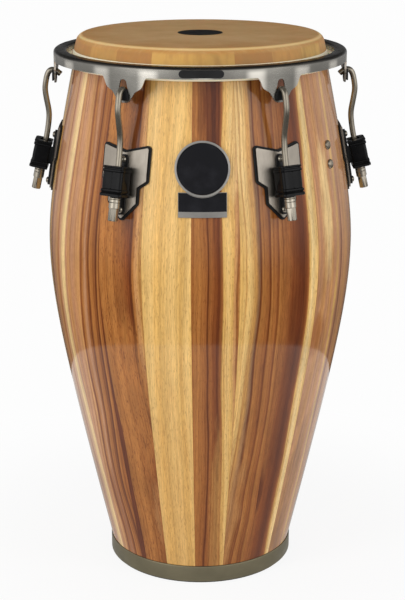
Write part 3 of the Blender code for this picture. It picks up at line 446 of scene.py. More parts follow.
def lofted(name, rings, material, matrix=None, ends=True, sharp=32):
    """A skin over rings of the same number of points. Without ends the last ring joins the first."""
    bm = bmesh.new()
    layers = [[bm.verts.new(p) for p in ring] for ring in rings]
    for near, far in zip(layers, layers[1:]):
        bridged(bm, near, far)
    if ends:
        bm.faces.new(layers[0])
        bm.faces.new(layers[-1])
    else:
        bridged(bm, layers[-1], layers[0])
    return finished(name, bm, material, matrix, sharp)


def swept(name, path, radii, sides, material):
    """A round rod along (outward, up) points in a station's plane."""
    bm = bmesh.new()
    layer = bm.loops.layers.uv.new("turned")
    rings = []
    along = [0.0]
    for i, (x, z) in enumerate(path):
        before = Vector(path[max(i - 1, 0)])
        after = Vector(path[min(i + 1, len(path) - 1)])
        way = (after - before).normalized()
        side = Vector((way.y, -way.x))
        ring = []
        for k in range(sides):
            a = 2 * math.pi * k / sides
            off = side * math.cos(a) * radii[i]
            ring.append(bm.verts.new((x + off.x, math.sin(a) * radii[i], z + off.y)))
        rings.append(ring)
        if i:
            along.append(along[-1] + math.dist(path[i - 1], path[i]))
    for i, (near, far) in enumerate(zip(rings, rings[1:])):
        for k in range(sides):
            n = (k + 1) % sides
            face = bm.faces.new((near[k], near[n], far[n], far[k]))
            for loop, (row, column) in zip(face.loops, ((i, k), (i, k + 1), (i + 1, k + 1), (i + 1, k))):
                loop[layer].uv = (column / sides, along[row])
    bm.faces.new(rings[0])
    bm.faces.new(rings[-1])
    return finished(name, bm, material)


def face_rank(face):
    """A number by which faces with numbered points always fall in the same order."""
    rank = 0
    for index in sorted(vert.index for vert in face.verts)[:3]:
        rank = rank * 10000 + index
    return rank


def shell_sheet(name, outline, lifts, material, hole=None):
    """A sheet that lies on the shell, from (across, height) outlines round azimuth 90 and its two faces' lifts."""
    bm = bmesh.new()
    rings = [[bm.verts.new((s, z, 0)) for s, z in ring] for ring in (outline, hole) if ring]
    loops = [bm.edges.new((a, b)) for ring in rings for a, b in zip(ring, ring[1:] + ring[:1])]
    bmesh.ops.triangle_fill(bm, edges=loops, use_beauty=True)
    across = [s for s, _ in outline]
    heights = [z for _, z in outline]
    cuts = [((s * SHEET_PITCH, 0, 0), (1, 0, 0)) for s in range(-20, 21)
            if min(across) + SLIVER < s * SHEET_PITCH < max(across) - SLIVER]
    first = math.ceil((min(heights) + SLIVER) / (2 * SHEET_PITCH))
    last = math.floor((max(heights) - SLIVER) / (2 * SHEET_PITCH))
    cuts += [((0, k * 2 * SHEET_PITCH, 0), (0, 1, 0)) for k in range(first, last + 1)]
    for point, normal in cuts:
        everything = bm.verts[:] + bm.edges[:] + bm.faces[:]
        bmesh.ops.bisect_plane(bm, geom=everything, dist=0.0000002, plane_co=point, plane_no=normal)
    bmesh.ops.dissolve_degenerate(bm, dist=0.00001, edges=bm.edges)
    layer = bm.loops.layers.uv.new("turned")
    for face in bm.faces:
        for loop in face.loops:
            loop[layer].uv = (loop.vert.co.x, loop.vert.co.y)
    top = bmesh.ops.extrude_face_region(bm, geom=bm.faces[:])["geom"]
    raised = {v for v in top if isinstance(v, bmesh.types.BMVert)}
    for vert in bm.verts:
        s, height, _ = vert.co
        radius = shell_radius(height)
        lean = shell_slope(height)
        lift = lifts[1] if vert in raised else lifts[0]
        r = radius + lift * math.cos(lean)
        angle = s / radius
        vert.co = (r * math.cos(angle), r * math.sin(angle), height + lift * math.sin(lean))
    bm.verts.index_update()
    bm.faces.sort(key=face_rank)
    return finished(name, bm, material)


def joined(name, objects):
    """Joins meshes of one material into a new object."""
    bm = bmesh.new()
    for obj in objects:
        bm.from_mesh(obj.data)
    mesh = meshed(name, bm)
    mesh.materials.append(objects[0].data.materials[0])
    for obj in objects:
        bpy.data.objects.remove(obj)
    return shown(name, mesh)


def placed(obj, body, slot, *nodes):
    """Rides a piece on its body and hides the packed nodes that it stands for. Its slot is not used."""
    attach(obj, body)
    if nodes:
        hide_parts(*nodes)


def at_stations(source, name, body, slot, node=None, local=lambda number: Matrix()):
    """Copies a piece to each station under its number, places the copies and clears the piece away."""
    for number, azimuth in stations():
        piece = copied(source, f"{name}_{number}", turn_to(azimuth) @ local(number))
        placed(piece, body.format(number), slot, *([f"{node}_{number}"] if node else []))
    bpy.data.objects.remove(source)


# Finishes

class Nodes:
    """Short names for making and linking the nodes of a material or a world."""

    def __init__(self, tree):
        self.tree = tree

    def node(self, kind, **values):
        node = self.tree.nodes.new(kind)
        for key, value in values.items():
            setattr(node, key, value)
        return node

    def link(self, source, target):
        self.tree.links.new(source, target)

    def feed(self, socket, value):
        """Links an output or writes a plain value."""
        if isinstance(value, bpy.types.NodeSocket):
            self.link(value, socket)
        else:
            socket.default_value = value

    def filled(self, node, values):
        """Feeds a node's first inputs and returns its first output."""
        for socket, value in zip(node.inputs, values):
            self.feed(socket, value)
        return node.outputs[0]

    def math(self, operation, *values):
        return self.filled(self.node("ShaderNodeMath", operation=operation), values)

    def times(self, a, b):
        return self.math("MULTIPLY", a, b)

    def plus(self, a, b):
        return self.math("ADD", a, b)

    def minus(self, a, b):
        return self.math("SUBTRACT", a, b)

    def mapped(self, value, low, high, to_low=0.0, to_high=1.0, kind="LINEAR"):
        node = self.node("ShaderNodeMapRange", interpolation_type=kind)
        return self.filled(node, (value, low, high, to_low, to_high))

    def softly(self, value, low, high, to_low=0.0, to_high=1.0):
        """Goes softly from one value to another as the input goes from low to high."""
        return self.mapped(value, low, high, to_low, to_high, "SMOOTHSTEP")

    def parts(self, vector):
        """The three parts of a vector."""
        split = self.node("ShaderNodeSeparateXYZ")
        self.link(vector, split.inputs[0])
        return split.outputs[:3]


class Finish(Nodes):
    """A material under construction."""

    def __init__(self, name):
        self.material = bpy.data.materials.new(name)
        self.material.use_nodes = True
        super().__init__(self.material.node_tree)
        self.shader = self.tree.nodes["Principled BSDF"]

    def set(self, **values):
        """Writes constants on the shader's own sockets."""
        for key, value in values.items():
            self.shader.inputs[key.replace("_", " ").title().replace("Ior", "IOR")].default_value = value
        return self

    def base(self, value):
        self.feed(self.shader.inputs["Base Color"], value if not isinstance(value, tuple) else (*value[:3], 1))
        return self

    def roughness(self, value):
        self.feed(self.shader.inputs["Roughness"], value)
        return self

    def place(self):
        return self.node("ShaderNodeTexCoord").outputs["Object"]

    def uv(self, name):
        return self.node("ShaderNodeUVMap", uv_map=name).outputs["UV"]

    def stretched(self, vector, scale):
        mapping = self.node("ShaderNodeMapping")
        self.link(vector, mapping.inputs["Vector"])
        mapping.inputs["Scale"].default_value = scale
        return mapping.outputs["Vector"]

    def noise(self, vector, scale=1.0, detail=3.0, rough=0.55):
        noise = self.node("ShaderNodeTexNoise")
        self.link(vector, noise.inputs["Vector"])
        noise.inputs["Scale"].default_value = scale
        noise.inputs["Detail"].default_value = detail
        noise.inputs["Roughness"].default_value = rough
        return noise.outputs["Fac"]

    def combined(self, *values):
        return self.filled(self.node("ShaderNodeCombineXYZ"), values)

    def azimuth(self, right, back):
        """Angle round the drum from the badge side."""
        return self.math("ARCTAN2", right, self.times(back, -1.0))

    def ramp(self, value, stops, kind="EASE"):
        node = self.node("ShaderNodeValToRGB")
        node.color_ramp.interpolation = kind
        elements = node.color_ramp.elements
        elements[0].position, elements[0].color = stops[0][0], (*stops[0][1][:3], 1)
        elements[1].position, elements[1].color = stops[-1][0], (*stops[-1][1][:3], 1)
        for position, tone in stops[1:-1]:
            elements.new(position).color = (*tone[:3], 1)
        self.link(value, node.inputs["Fac"])
        return node.outputs["Color"]

    def mixed(self, factor, a, b, kind="MIX"):
        node = self.node("ShaderNodeMix", data_type="RGBA", blend_type=kind)
        self.feed(node.inputs["Factor"], factor)
        sockets = [s for s in node.inputs if s.type == "RGBA"]
        for socket, value in zip(sockets, (a, b)):
            self.feed(socket, value if isinstance(value, bpy.types.NodeSocket) else (*value[:3], 1))
        return [s for s in node.outputs if s.type == "RGBA"][0]

    def over(self, tone, value, low, high, strength, colour, kind="MIX"):
        """Lays a colour over a tone where a value goes from low to high."""
        return self.mixed(self.mapped(value, low, high, 0.0, strength), tone, colour, kind)

    def bump(self, height, distance, strength):
        node = self.node("ShaderNodeBump")
        self.link(height, node.inputs["Height"])
        node.inputs["Distance"].default_value = distance
        node.inputs["Strength"].default_value = strength
        self.link(node.outputs["Normal"], self.shader.inputs["Normal"])
        return self


def nickel(name, rgb, roughness, brushed=0.0, painted_light=None):
    """Plated steel: faint cloudy tarnish, fine wiping marks and softly varied roughness."""
    finish = Finish(name)
    place = finish.place()
    cloud = finish.noise(finish.stretched(place, (18, 18, 26)), detail=4)
    marks = finish.noise(finish.stretched(place, (60, 60, 900)), detail=2)
    tone = finish.over(tuple(rgb), cloud, 0.35, 0.75, 1.0, toned(rgb, 0.72))
    # The optional painter lays painted highlights and painted shade over the tone
    finish.base(painted_light(finish, place, tone) if painted_light else tone)
    finish.roughness(finish.plus(finish.mapped(cloud, 0.3, 0.7, roughness * 0.8, roughness * 1.25),
                                 finish.mapped(marks, 0.4, 0.7, 0.0, 0.05 + brushed)))
    finish.set(metallic=0.85)
    return finish.bump(marks, 0.00002 + 0.00006 * brushed, 0.4).material


def moulded(name, rgb, roughness, grain=900.0, depth=0.00005, shine=0.3):
    """Black rubber or plastic with a fine moulded grain and paler rubbed patches."""
    finish = Finish(name)
    place = finish.place()
    patch = finish.noise(place, 55, 3)
    pores = finish.noise(place, grain, 2)
    rubbed = tuple(c * 1.6 + 0.002 for c in rgb)
    finish.base(finish.over(tuple(rgb), patch, 0.45, 0.75, 1.0, rubbed))
    finish.roughness(finish.mapped(patch, 0.3, 0.7, roughness * 0.85, min(1.0, roughness * 1.2)))
    finish.set(specular_ior_level=shine)
    return finish.bump(pores, depth, 0.5).material


# Shell

# The foot: how deep the staves are turned down behind the band, the band's thickness, and the rubber pad
BAND_REBATE = 0.0025
BAND_T = 0.0019
PAD_W, PAD_EDGE = 0.012, 0.0012
# Timber of each stave from its left to its right edge: places at the belly, in hundredths, and their tones
STAVE_BANDS = """
0 rust 12 orange 30 rust 33 umber 37 rust 50 red 56 umber 62 rust 66 golden 74 pale 84 golden 90 tan 97 rust 100 honey
0 honey 8 golden 24 pale 34 honey 41 grey 45 umber 49 orange 62 rust 66 red 70 orange 82 rust 86 red 90 orange 100 rust
0 orange 20 rust 34 red 55 umber 64 red 69 rust 73 golden 80 cream 94 pale 100 tan
0 tan 12 pink 30 tan 42 pink 56 tan 70 pink 80 golden 88 pink 100 plum
0 pink 30 tan 50 pink 80 tan 100 orange
0 golden 35 pale 60 golden 80 honey 100 orange
0 rust 30 orange 36 umber 42 orange 75 honey 100 tan
0 golden 40 pale 70 golden 100 honey
0 red 25 rust 50 red 80 orange 100 rust
0 tan 40 honey 55 pink 62 tan 100 golden
0 pale 45 golden 58 orange 80 rust 100 red
0 orange 30 rust 60 orange 72 golden 85 cream 100 pale
0 umber 20 red 50 rust 58 umber 64 orange 100 tan
0 golden 30 cream 60 pale 85 golden 100 honey
0 pink 30 tan 50 orange 75 rust 100 red
0 honey 50 pale 80 golden 100 honey
0 plum 20 pink 45 tan 52 rust 56 pink 80 cream 90 pink 100 tan
0 rust 5 tan 20 pink 40 tan 46 red 50 orange 60 pink 66 rust 70 umber 74 orange 84 rust 91 umber 95 orange 100 rust
0 umber 3 orange 25 orange 50 rust 68 red 74 umber 78 orange 84 tan 92 honey 100 golden
0 golden 20 pale 36 golden 62 pale 80 golden 93 pale 100 golden
""".strip().splitlines()
# How far the bands of a stave drift to its right, as (height, distance) pairs
STAVE_DRIFT = {
    0: ((0.03, 0.003), (0.2, 0.003), (0.4, 0.0), (0.6, 0.001), (0.7, 0.004)),
    1: ((0.03, -0.020), (0.12, -0.013), (0.3, -0.004), (0.45, 0.0), (0.7, 0.0)),
    2: ((0.03, -0.001), (0.25, -0.001), (0.5, 0.0), (0.7, 0.001)),
    17: ((0.03, -0.004), (0.15, -0.012), (0.3, -0.005), (0.5, 0.0), (0.7, 0.003)),
    18: ((0.03, 0.018), (0.2, 0.014), (0.37, 0.003), (0.49, 0.0), (0.7, 0.002)),
}
# How strongly a stave shows dark growth lines, short pores and cloudy figure
STAVE_FIGURE = {0: (0.60, 0.5, 0.3), 1: (0.70, 0.4, 0.4), 2: (0.45, 0.5, 0.6), 3: (0.30, 0.3, 0.8),
                4: (0.35, 0.3, 0.6), 16: (0.45, 0.3, 0.5), 17: (0.75, 0.3, 0.4), 18: (0.45, 0.9, 0.7),
                19: (0.12, 0.4, 0.15)}
# Cloudy dark patches, two of them painted shade under the rim's label: (distance right of the stave's middle, height,
# half width, half height, tone, strength)
STAVE_PATCHES = {
    0: ((-0.006, 0.700, 0.012, 0.100, "umber", 0.85), (-0.002, 0.66, 0.004, 0.120, "dark", 0.7),
        # The umber patch at height 0.69 is painted shade under the rim's label
        (0.003, 0.10, 0.011, 0.16, "honey", 0.55), (-0.019, 0.69, 0.009, 0.05, "umber", 0.6),
        (0.024, 0.66, 0.008, 0.10, "cream", 0.5)),
    1: ((-0.008, 0.10, 0.018, 0.15, "tan", 0.55), (-0.022, 0.66, 0.008, 0.10, "cream", 0.6)),
    2: ((-0.021, 0.145, 0.007, 0.050, "umber", 0.9), (-0.006, 0.42, 0.016, 0.05, "umber", 0.4)),
    3: ((-0.007, 0.545, 0.014, 0.110, "cream", 0.8), (-0.020, 0.370, 0.022, 0.035, "rust", 0.75),
        (-0.006, 0.12, 0.018, 0.12, "grey", 0.6), (0.016, 0.50, 0.008, 0.09, "pink", 0.5)),
    17: ((0.004, 0.09, 0.012, 0.09, "red", 0.5),),
    18: ((0.004, 0.29, 0.024, 0.13, "orange", 0.75), (0.006, 0.11, 0.012, 0.06, "tan", 0.5),
         (0.029, 0.14, 0.012, 0.14, "orange", 0.8)),
    # The tan patch at height 0.69 is painted shade under the rim's label
    19: ((0.0, 0.08, 0.045, 0.28, "honey", 0.35), (0.024, 0.69, 0.008, 0.04, "tan", 0.5)),
}


def bands_of(index):
    """(place, scene colour) of each colour band of a stave."""
    words = STAVE_BANDS[index].split()
    return [(int(place) / 100, linear(TONES[tone])) for place, tone in zip(words[::2], words[1::2])]


def drift_of(index, height):
    """Sideways drift of a stave's colour bands at a height. Staves not in the table drift in a gentle wave."""
    pairs = STAVE_DRIFT.get(index)
    if pairs is None:
        return 0.006 * math.sin(index * 2.4) * math.sin((height - 0.475) * 5.0)
    if height <= pairs[0][0]:
        return pairs[0][1]
    for (z0, d0), (z1, d1) in zip(pairs, pairs[1:]):
        if height <= z1:
            t = (height - z0) / (z1 - z0)
            return d0 + (d1 - d0) * t * t * (3 - 2 * t)
    return pairs[-1][1]


def stave_timber(index, shell):
    """Lacquered timber of one stave: colour bands, growth lines, fibres, pores and a dark glue line."""
    lines, speckle, cloud = STAVE_FIGURE.get(index, (0.5, 0.45, 0.5))
    finish = Finish(f"stave_timber_{index + 1:02d}")
    across, along, _ = finish.parts(finish.uv("grain"))

    def grain(scale_across, scale_along, detail=3.0, rough=0.55, source=across):
        """Noise drawn out along the stave, different for each stave."""
        place = finish.combined(finish.times(source, scale_across), finish.times(along, scale_along), index * 1.7)
        return finish.noise(place, 1.0, detail, rough)

    wander = finish.mapped(grain(14, 2.4, 2.0), 0.25, 0.75, -shell.grain_wander, shell.grain_wander)
    ripple = finish.mapped(grain(60, 9.0, 2.0), 0.3, 0.7, -0.0008, 0.0008)
    bent = finish.plus(across, finish.plus(wander, ripple))
    half = shell.belly_r * STAVE_SPAN / 2
    tone = finish.ramp(finish.mapped(bent, -half, half), bands_of(index))
    for middle, height, half_w, half_h, patch_tone, strength in STAVE_PATCHES.get(index, ()):
        aside = finish.math("DIVIDE", finish.minus(bent, middle), half_w)
        above = finish.math("DIVIDE", finish.minus(along, height), half_h)
        reach = finish.plus(finish.times(aside, aside), finish.times(above, above))
        ragged = finish.plus(reach, finish.mapped(grain(90, 16, 4.0), 0.3, 0.7, -0.5, 0.5))
        tone = finish.mixed(finish.softly(ragged, 1.2, 0.1, 0.0, strength), tone, linear(TONES[patch_tone]))
    rings = grain(420, 2.2, 3.0, 0.6, bent)
    hairs = grain(1050, 4.0, 2.0, 0.5, bent)
    tone = finish.over(tone, rings, 0.53, 0.63, lines, LATE_WOOD, "MULTIPLY")
    tone = finish.over(tone, hairs, 0.54, 0.64, 0.35 + 0.5 * lines, HAIR_LINES, "MULTIPLY")
    bright = finish.mapped(grain(260, 1.6, 2.0, 0.5, bent), 0.35, 0.65, 0.90, 1.10)
    fibre = finish.mapped(grain(1500, 60, 3.0), 0.3, 0.7, 0.80, 1.20)
    figure = finish.mapped(grain(26, 11, 4.0), 0.3, 0.7, 1 - 0.28 * cloud, 1 + 0.20 * cloud)
    shade = finish.times(bright, finish.times(fibre, figure))
    tone = finish.mixed(1.0, tone, finish.combined(shade, shade, shade), "MULTIPLY")
    pores, flecks = grain(800, 130, 1.0), grain(520, 60, 3.0, 0.7)
    tone = finish.over(tone, pores, 0.60, 0.68, 0.65 * speckle, linear(TONES["umber"]))
    tone = finish.over(tone, flecks, 0.56, 0.70, 0.6 * speckle, LATE_WOOD, "MULTIPLY")
    from_middle = finish.math("ABSOLUTE", finish.minus(finish.parts(finish.uv("joint"))[0], 0.5))
    finish.base(finish.over(tone, from_middle, 0.488, 0.4985, 0.55, LATE_WOOD, "MULTIPLY"))
    finish.roughness(finish.mapped(rings, 0.3, 0.7, 0.40, 0.55))
    finish.set(coat_weight=shell.lacquer, coat_roughness=shell.lacquer_roughness, coat_ior=1.33,
               specular_ior_level=0.08)
    return finish.bump(grain(900, 12, 2.0), 0.00004, 0.4).material


def stained_inside(shell):
    """Brown stain on the bare inside of the staves."""
    finish = Finish("stained_inside")
    place = finish.place()
    grain = finish.noise(finish.stretched(place, (220, 220, 6)), detail=4)
    blotch = finish.noise(finish.stretched(place, (9, 9, 4)), detail=3)
    stain = tuple(shell.inside_colour)
    tone = finish.over(stain, grain, 0.35, 0.7, 1.0, toned(stain, 0.55))
    finish.base(finish.over(tone, blotch, 0.3, 0.7, 0.5, toned(stain, 1.3)))
    finish.roughness(finish.mapped(grain, 0.3, 0.7, 0.6, 0.8))
    return finish.bump(grain, 0.0002, 0.5).material


def stave_heights(shell):
    """Heights of a stave's section, closer together at the belly."""
    low = FOOT_BAND_TOP + GAP
    top = edge_centre()[1]
    below = [shell.belly_z - (shell.belly_z - low) * (i / 26) ** 1.4 for i in range(26, 0, -1)]
    above = [shell.belly_z + (top - shell.belly_z) * (i / 18) ** 1.3 for i in range(19)]
    return below + above


def stave_sections(shell, heights):
    """(radius, height) points up a stave's outer and inner face, from the cushion over the bearing edge."""
    turned_r = FOOT_BAND_R - BAND_REBATE
    step = heights[0] - 0.0006
    outer = [(turned_r, CUSHION_TOP + GAP), (turned_r, step)] + [(shell_radius(z), z) for z in heights]
    inner = [(r - shell.wall, z) for r, z in outer]
    for r, z in arc(edge_centre(), shell.edge_r, 25, 85, 4):
        outer.append((r, z))
        inner.append((min(inner[-1][0], r - 0.004), z - 0.0004))
    return outer, inner


def build_stave(index, shell, timber, inside):
    """One stave as a closed bent board, with its normals those of the whole turned shell."""
    heights = stave_heights(shell)
    outer, inner = stave_sections(shell, heights)
    left, right = (math.radians(joint) for joint in (*JOINTS, JOINTS[0] + 360)[index:index + 2])
    middle = (left + right) / 2
    columns, rows = 12, len(outer)
    angles = [left + (right - left) * k / columns for k in range(columns + 1)]
    bm = bmesh.new()
    grain = bm.loops.layers.uv.new("grain")
    joint = bm.loops.layers.uv.new("joint")
    out, back = ([[bm.verts.new((r * math.sin(a), -r * math.cos(a), z)) for r, z in profile] for a in angles]
                 for profile in (outer, inner))

    def quad(corners, material=1):
        """A face from (wall, column, row) corners, with its place in the grain and between the joints."""
        face = bm.faces.new([wall[c][i] for wall, c, i in corners])
        face.material_index = material
        face.smooth = material == 0
        for loop, (_, c, i) in zip(face.loops, corners):
            r, z = outer[i]
            loop[grain].uv = ((angles[c] - middle) * r - drift_of(index, z), z)
            loop[joint].uv = (c / columns, z)

    for c in range(columns):
        for i in range(rows - 1):
            quad(((out, c, i), (out, c + 1, i), (out, c + 1, i + 1), (out, c, i + 1)), 0)
            quad(((back, c, i + 1), (back, c + 1, i + 1), (back, c + 1, i), (back, c, i)))
        for i in (0, rows - 1):
            quad(((back, c, i), (back, c + 1, i), (out, c + 1, i), (out, c, i)))
    for c in (0, columns):
        for i in range(rows - 1):
            quad(((out, c, i), (out, c, i + 1), (back, c, i + 1), (back, c, i)))
    bmesh.ops.recalc_face_normals(bm, faces=bm.faces)
    mesh = meshed(f"stave_{index + 1:02d}", bm)
    normals = []
    for polygon in mesh.polygons:
        for v in polygon.vertices:
            x, y, z = mesh.vertices[v].co
            if polygon.material_index == 0 and heights[0] <= z <= heights[-1]:
                slope = shell_slope(z)
                normals.append(Vector((x, y, 0)).normalized() * math.cos(slope) + Vector((0, 0, math.sin(slope))))
            else:
                normals.append(polygon.normal.copy())
    mesh.normals_split_custom_set(normals)
    mesh.materials.append(timber)
    mesh.materials.append(inside)
    return shown(mesh.name, mesh)


class CONGA_OT_build_staves(Operator):
    """Build the twenty lacquered staves of the shell"""
    bl_idname = "conga.build_staves"
    bl_label = "Build Staves"

    def execute(self, context):
        shell = context.scene.conga_shell
        inside = stained_inside(shell)
        for index in range(STAVES):
            stave = build_stave(index, shell, stave_timber(index, shell), inside)
            placed(stave, "shell", "lacquered_wood", "shell")
        return {"FINISHED"}


class CONGA_OT_build_foot(Operator):
    """Build the metal foot band and the rubber pad under the staves"""
    bl_idname = "conga.build_foot"
    bl_label = "Build Foot"

    def execute(self, context):
        foot = context.scene.conga_foot
        low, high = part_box("base_ring")
        outer, inner, edge = high.x, high.x - BAND_T, foot.edge
        profile = [(inner, low.z)] + arc((outer - edge, low.z + edge), edge, -90, 0, 4)
        profile += arc((outer - edge, high.z - edge), edge, 0, 90, 4) + [(inner, high.z)]
        metal = nickel("antique_band", foot.band_colour, foot.band_roughness, 0.06)
        band = lathed("foot_band", profile, 192, metal)
        placed(band, "shell", "antique_metal", "base_ring")
        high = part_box("foot_cushion")[1]
        outer, inner, edge = high.x, high.x - PAD_W, PAD_EDGE
        profile = arc((outer - edge, edge), edge, -90, 0, 3) + [(outer, high.z), (inner, high.z)]
        profile += arc((inner + edge, edge), edge, 180, 270, 3)
        rubber = moulded("foot_rubber", linear((26, 26, 27)), 0.75)
        placed(lathed("foot_pad", profile, 144, rubber), "shell", "black_rubber", "foot_cushion")
        return {"FINISHED"}


# Head

# Heights between which the staves begin to show through the collar, and the skin turns to its tuck's pale tone,
# brightened as painted highlight
COLLAR_BLEND = (HEAD_TOP - 0.0040, HEAD_TOP - 0.0095)
TUCK_BLEND = (0.7414, 0.7406)
# Radii between which the painted highlight on the bearing edge comes and goes
EDGE_LIGHT_IN = (0.1600, 0.1632)
EDGE_LIGHT_OUT = (0.1662, 0.1645)


def rawhide(head):
    """Translucent hide: clouded fibres on top, the staves showing through the collar, a painted highlight on the
    bearing edge, and a pale tuck brightened by painted highlight.
    """
    finish = Finish("rawhide")
    place = finish.place()
    right, back, up = finish.parts(place)
    radius = finish.math("SQRT", finish.plus(finish.times(right, right), finish.times(back, back)))
    cloud = finish.noise(place, 13, 5, 0.6)
    fibre = finish.noise(finish.stretched(place, (70, 420, 70)), detail=4)
    spots = finish.noise(place, 260, 2)
    drift = finish.noise(finish.stretched(place, (7, 11, 7)), detail=3)
    warm = finish.softly(radius, 0.09, 0.165, 0.0, 0.75)
    tone = finish.mixed(warm, tuple(head.skin_colour), tuple(head.skin_warm))
    for value, low, high, strength, rgb in ((drift, 0.45, 0.62, 0.5, (196, 160, 112)),
                                            (cloud, 0.4, 0.7, 0.6, (164, 118, 62)),
                                            (fibre, 0.45, 0.75, 0.28, (216, 178, 122)),
                                            (spots, 0.62, 0.75, 0.25, (150, 104, 58))):
        tone = finish.over(tone, value, low, high, strength, linear(rgb))
    from_joint = finish.minus(finish.azimuth(right, back), math.radians(JOINTS[0]))
    stave = finish.math("FLOOR", finish.math("DIVIDE", from_joint, STAVE_SPAN))
    number = finish.node("ShaderNodeTexWhiteNoise", noise_dimensions="1D")
    finish.link(finish.plus(stave, 3.0), number.inputs["W"])
    through = finish.ramp(number.outputs["Value"], [(0.0, linear((160, 104, 46))), (0.5, linear((184, 130, 62))),
                                                    (1.0, linear((208, 164, 84)))], "LINEAR")
    streak = finish.noise(finish.stretched(place, (90, 90, 4)), detail=2)
    through = finish.over(through, streak, 0.45, 0.7, 0.5, linear((150, 100, 52)))
    through = finish.over(through, cloud, 0.45, 0.65, 0.35, linear((128, 112, 66)))
    tone = finish.mixed(finish.softly(up, *COLLAR_BLEND, 0.0, 0.8), tone, through)
    # Painted highlight: a pale ring over the bearing edge
    edge_light = finish.times(finish.mapped(radius, *EDGE_LIGHT_IN), finish.mapped(radius, *EDGE_LIGHT_OUT))
    tone = finish.mixed(finish.times(edge_light, 0.55), tone, linear((240, 212, 150)))
    # The tuck's pale tone, brightened to near white as painted highlight against the shade in the gap
    finish.base(finish.mixed(finish.softly(up, *TUCK_BLEND), tone, tuple(head.tuck_pale_and_highlight)))
    finish.roughness(finish.mapped(cloud, 0.3, 0.7, 0.42, 0.58))
    finish.set(subsurface_weight=0.12, subsurface_scale=0.004, coat_weight=0.15, coat_roughness=0.3, ior=1.45)
    return finish.bump(finish.plus(fibre, spots), 0.00012, 0.5).material


def skin_profile(head):
    """Section of the hide from the middle over the bearing edge, down the collar and round the hoop."""
    centre = edge_centre()
    top = centre[1] + head.edge_r
    end = (head.hoop_r - head.tuck_r - 0.0002, head.hoop_z + 0.0036)
    dr, dz = end[0] - centre[0], end[1] - centre[1]
    touch = math.degrees(math.atan2(dz, dr) + math.acos(head.edge_r / math.hypot(dr, dz)))

    def face(inset):
        flat = [(centre[0] * k / 16, top - inset) for k in range(16)]
        bend = arc(centre, head.edge_r - inset, 90, touch, 12)
        return flat + bend + arc((head.hoop_r, head.hoop_z), head.tuck_r - inset, 192, 500, 26)

    return face(0.0) + face(head.skin_t)[::-1]


class CONGA_OT_build_head(Operator):
    """Build the rawhide head with its collar, its tuck round the flesh hoop and the bare centre disc"""
    bl_idname = "conga.build_head"
    bl_label = "Build Head"

    def execute(self, context):
        head = context.scene.conga_head
        skin = lathed("head_skin", skin_profile(head), 192, rawhide(head), closed=False, sharp=60)
        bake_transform(skin)
        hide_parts("drum_head", "head_tuck")
        skin_top = edge_centre()[1] + head.edge_r
        profile = [(0.0, HEAD_TOP), (head.disc_r - 0.0003, HEAD_TOP), (head.disc_r, skin_top)]
        disc = lathed("head_disc", profile + [(0.0, skin_top)], 96,
                      moulded("printed_black", linear((18, 17, 17)), 0.5, shine=0.15), closed=False)
        placed(disc, "shell", "black_enamel")
        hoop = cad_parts["flesh_hoop"]
        hoop.data.materials.clear()
        hoop.data.materials.append(nickel("hoop_steel", linear((150, 150, 148)), 0.35))
        return {"FINISHED"}


# Rim

# Right edge of an ear from the band down: (distance from the ear's middle, height above its bottom)
EAR_OUTLINE = ((0.0360, 0.0330), (0.0328, 0.0326), (0.0300, 0.0290), (0.0262, 0.0205), (0.0225, 0.0172),
               (0.0170, 0.0140), (0.0138, 0.0098), (0.0112, 0.0060), (0.0080, 0.0015), (0.0055, 0.0000))
EAR_HALF = EAR_OUTLINE[0][0]
EAR_BOTTOM = 0.6945
# Keyhole slot: (half width, height) where its round top meets its sides, and where they are widest
SLOT_NECK = (0.0050, 0.7195)
SLOT_FOOT = (0.0080, 0.7060)
SLOT_BOTTOM = 0.6985
# Roundings of the lip's bend and of its lower edge
LIP_BEND, LIP_EDGE = 0.003, 0.0004


def ear_edge(across, rim, curve):
    """Height of the rim's lower edge at a distance from an ear's middle."""
    across = abs(across)
    if across >= curve[0][0]:
        return rim.band_z
    for (s1, z1), (s0, z0) in zip(curve, curve[1:]):
        if across >= s0:
            return min(rim.band_z, z0 + (z1 - z0) * (across - s0) / max(s1 - s0, 1e-9))
    return EAR_BOTTOM


def slot_top(across):
    """Height of the keyhole slot's upper edge."""
    across = abs(across)
    if across <= SLOT_NECK[0]:
        return SLOT_NECK[1] + math.sqrt(SLOT_NECK[0] ** 2 - across ** 2)
    reach = (across - SLOT_NECK[0]) / (SLOT_FOOT[0] - SLOT_NECK[0])
    return SLOT_NECK[1] + (SLOT_FOOT[1] - SLOT_NECK[1]) * reach


def rim_columns(rim, curve):
    """(azimuth, distance from the nearest ear's middle) of each column of the rim's mesh."""
    near = {0.0, SLOT_FOOT[0], SLOT_NECK[0], 0.0065} | {s for s, _ in curve}
    near |= {SLOT_NECK[0] * math.sin(math.radians(a)) for a in (15, 30, 45, 60, 75)}
    spare = math.pi / STATIONS * rim.radius - EAR_HALF
    near |= {EAR_HALF + spare * k / 14 for k in range(1, 15)}
    right = [0.0]
    for s in sorted(near):
        if s - right[-1] > 0.0003 or s in (SLOT_FOOT[0], SLOT_NECK[0]):
            right.append(s)
    both = [-s for s in reversed(right[1:-1])] + right
    return [(azimuth + s / rim.radius, s) for _, azimuth in stations() for s in both]


def rim_rows(across, rim, curve):
    """Heights of a column of the band's mesh. The slot is open from the third to the fifth."""
    low = ear_edge(across, rim, curve)
    bottom = max(low, SLOT_BOTTOM)
    top = max(bottom, slot_top(across) if abs(across) <= SLOT_FOOT[0] else SLOT_FOOT[1])
    marks = [low, (low + bottom) / 2, bottom, (bottom + top) / 2, top]
    return marks + [top + (rim.band_z - top) * k / 3 for k in (1, 2, 3)]


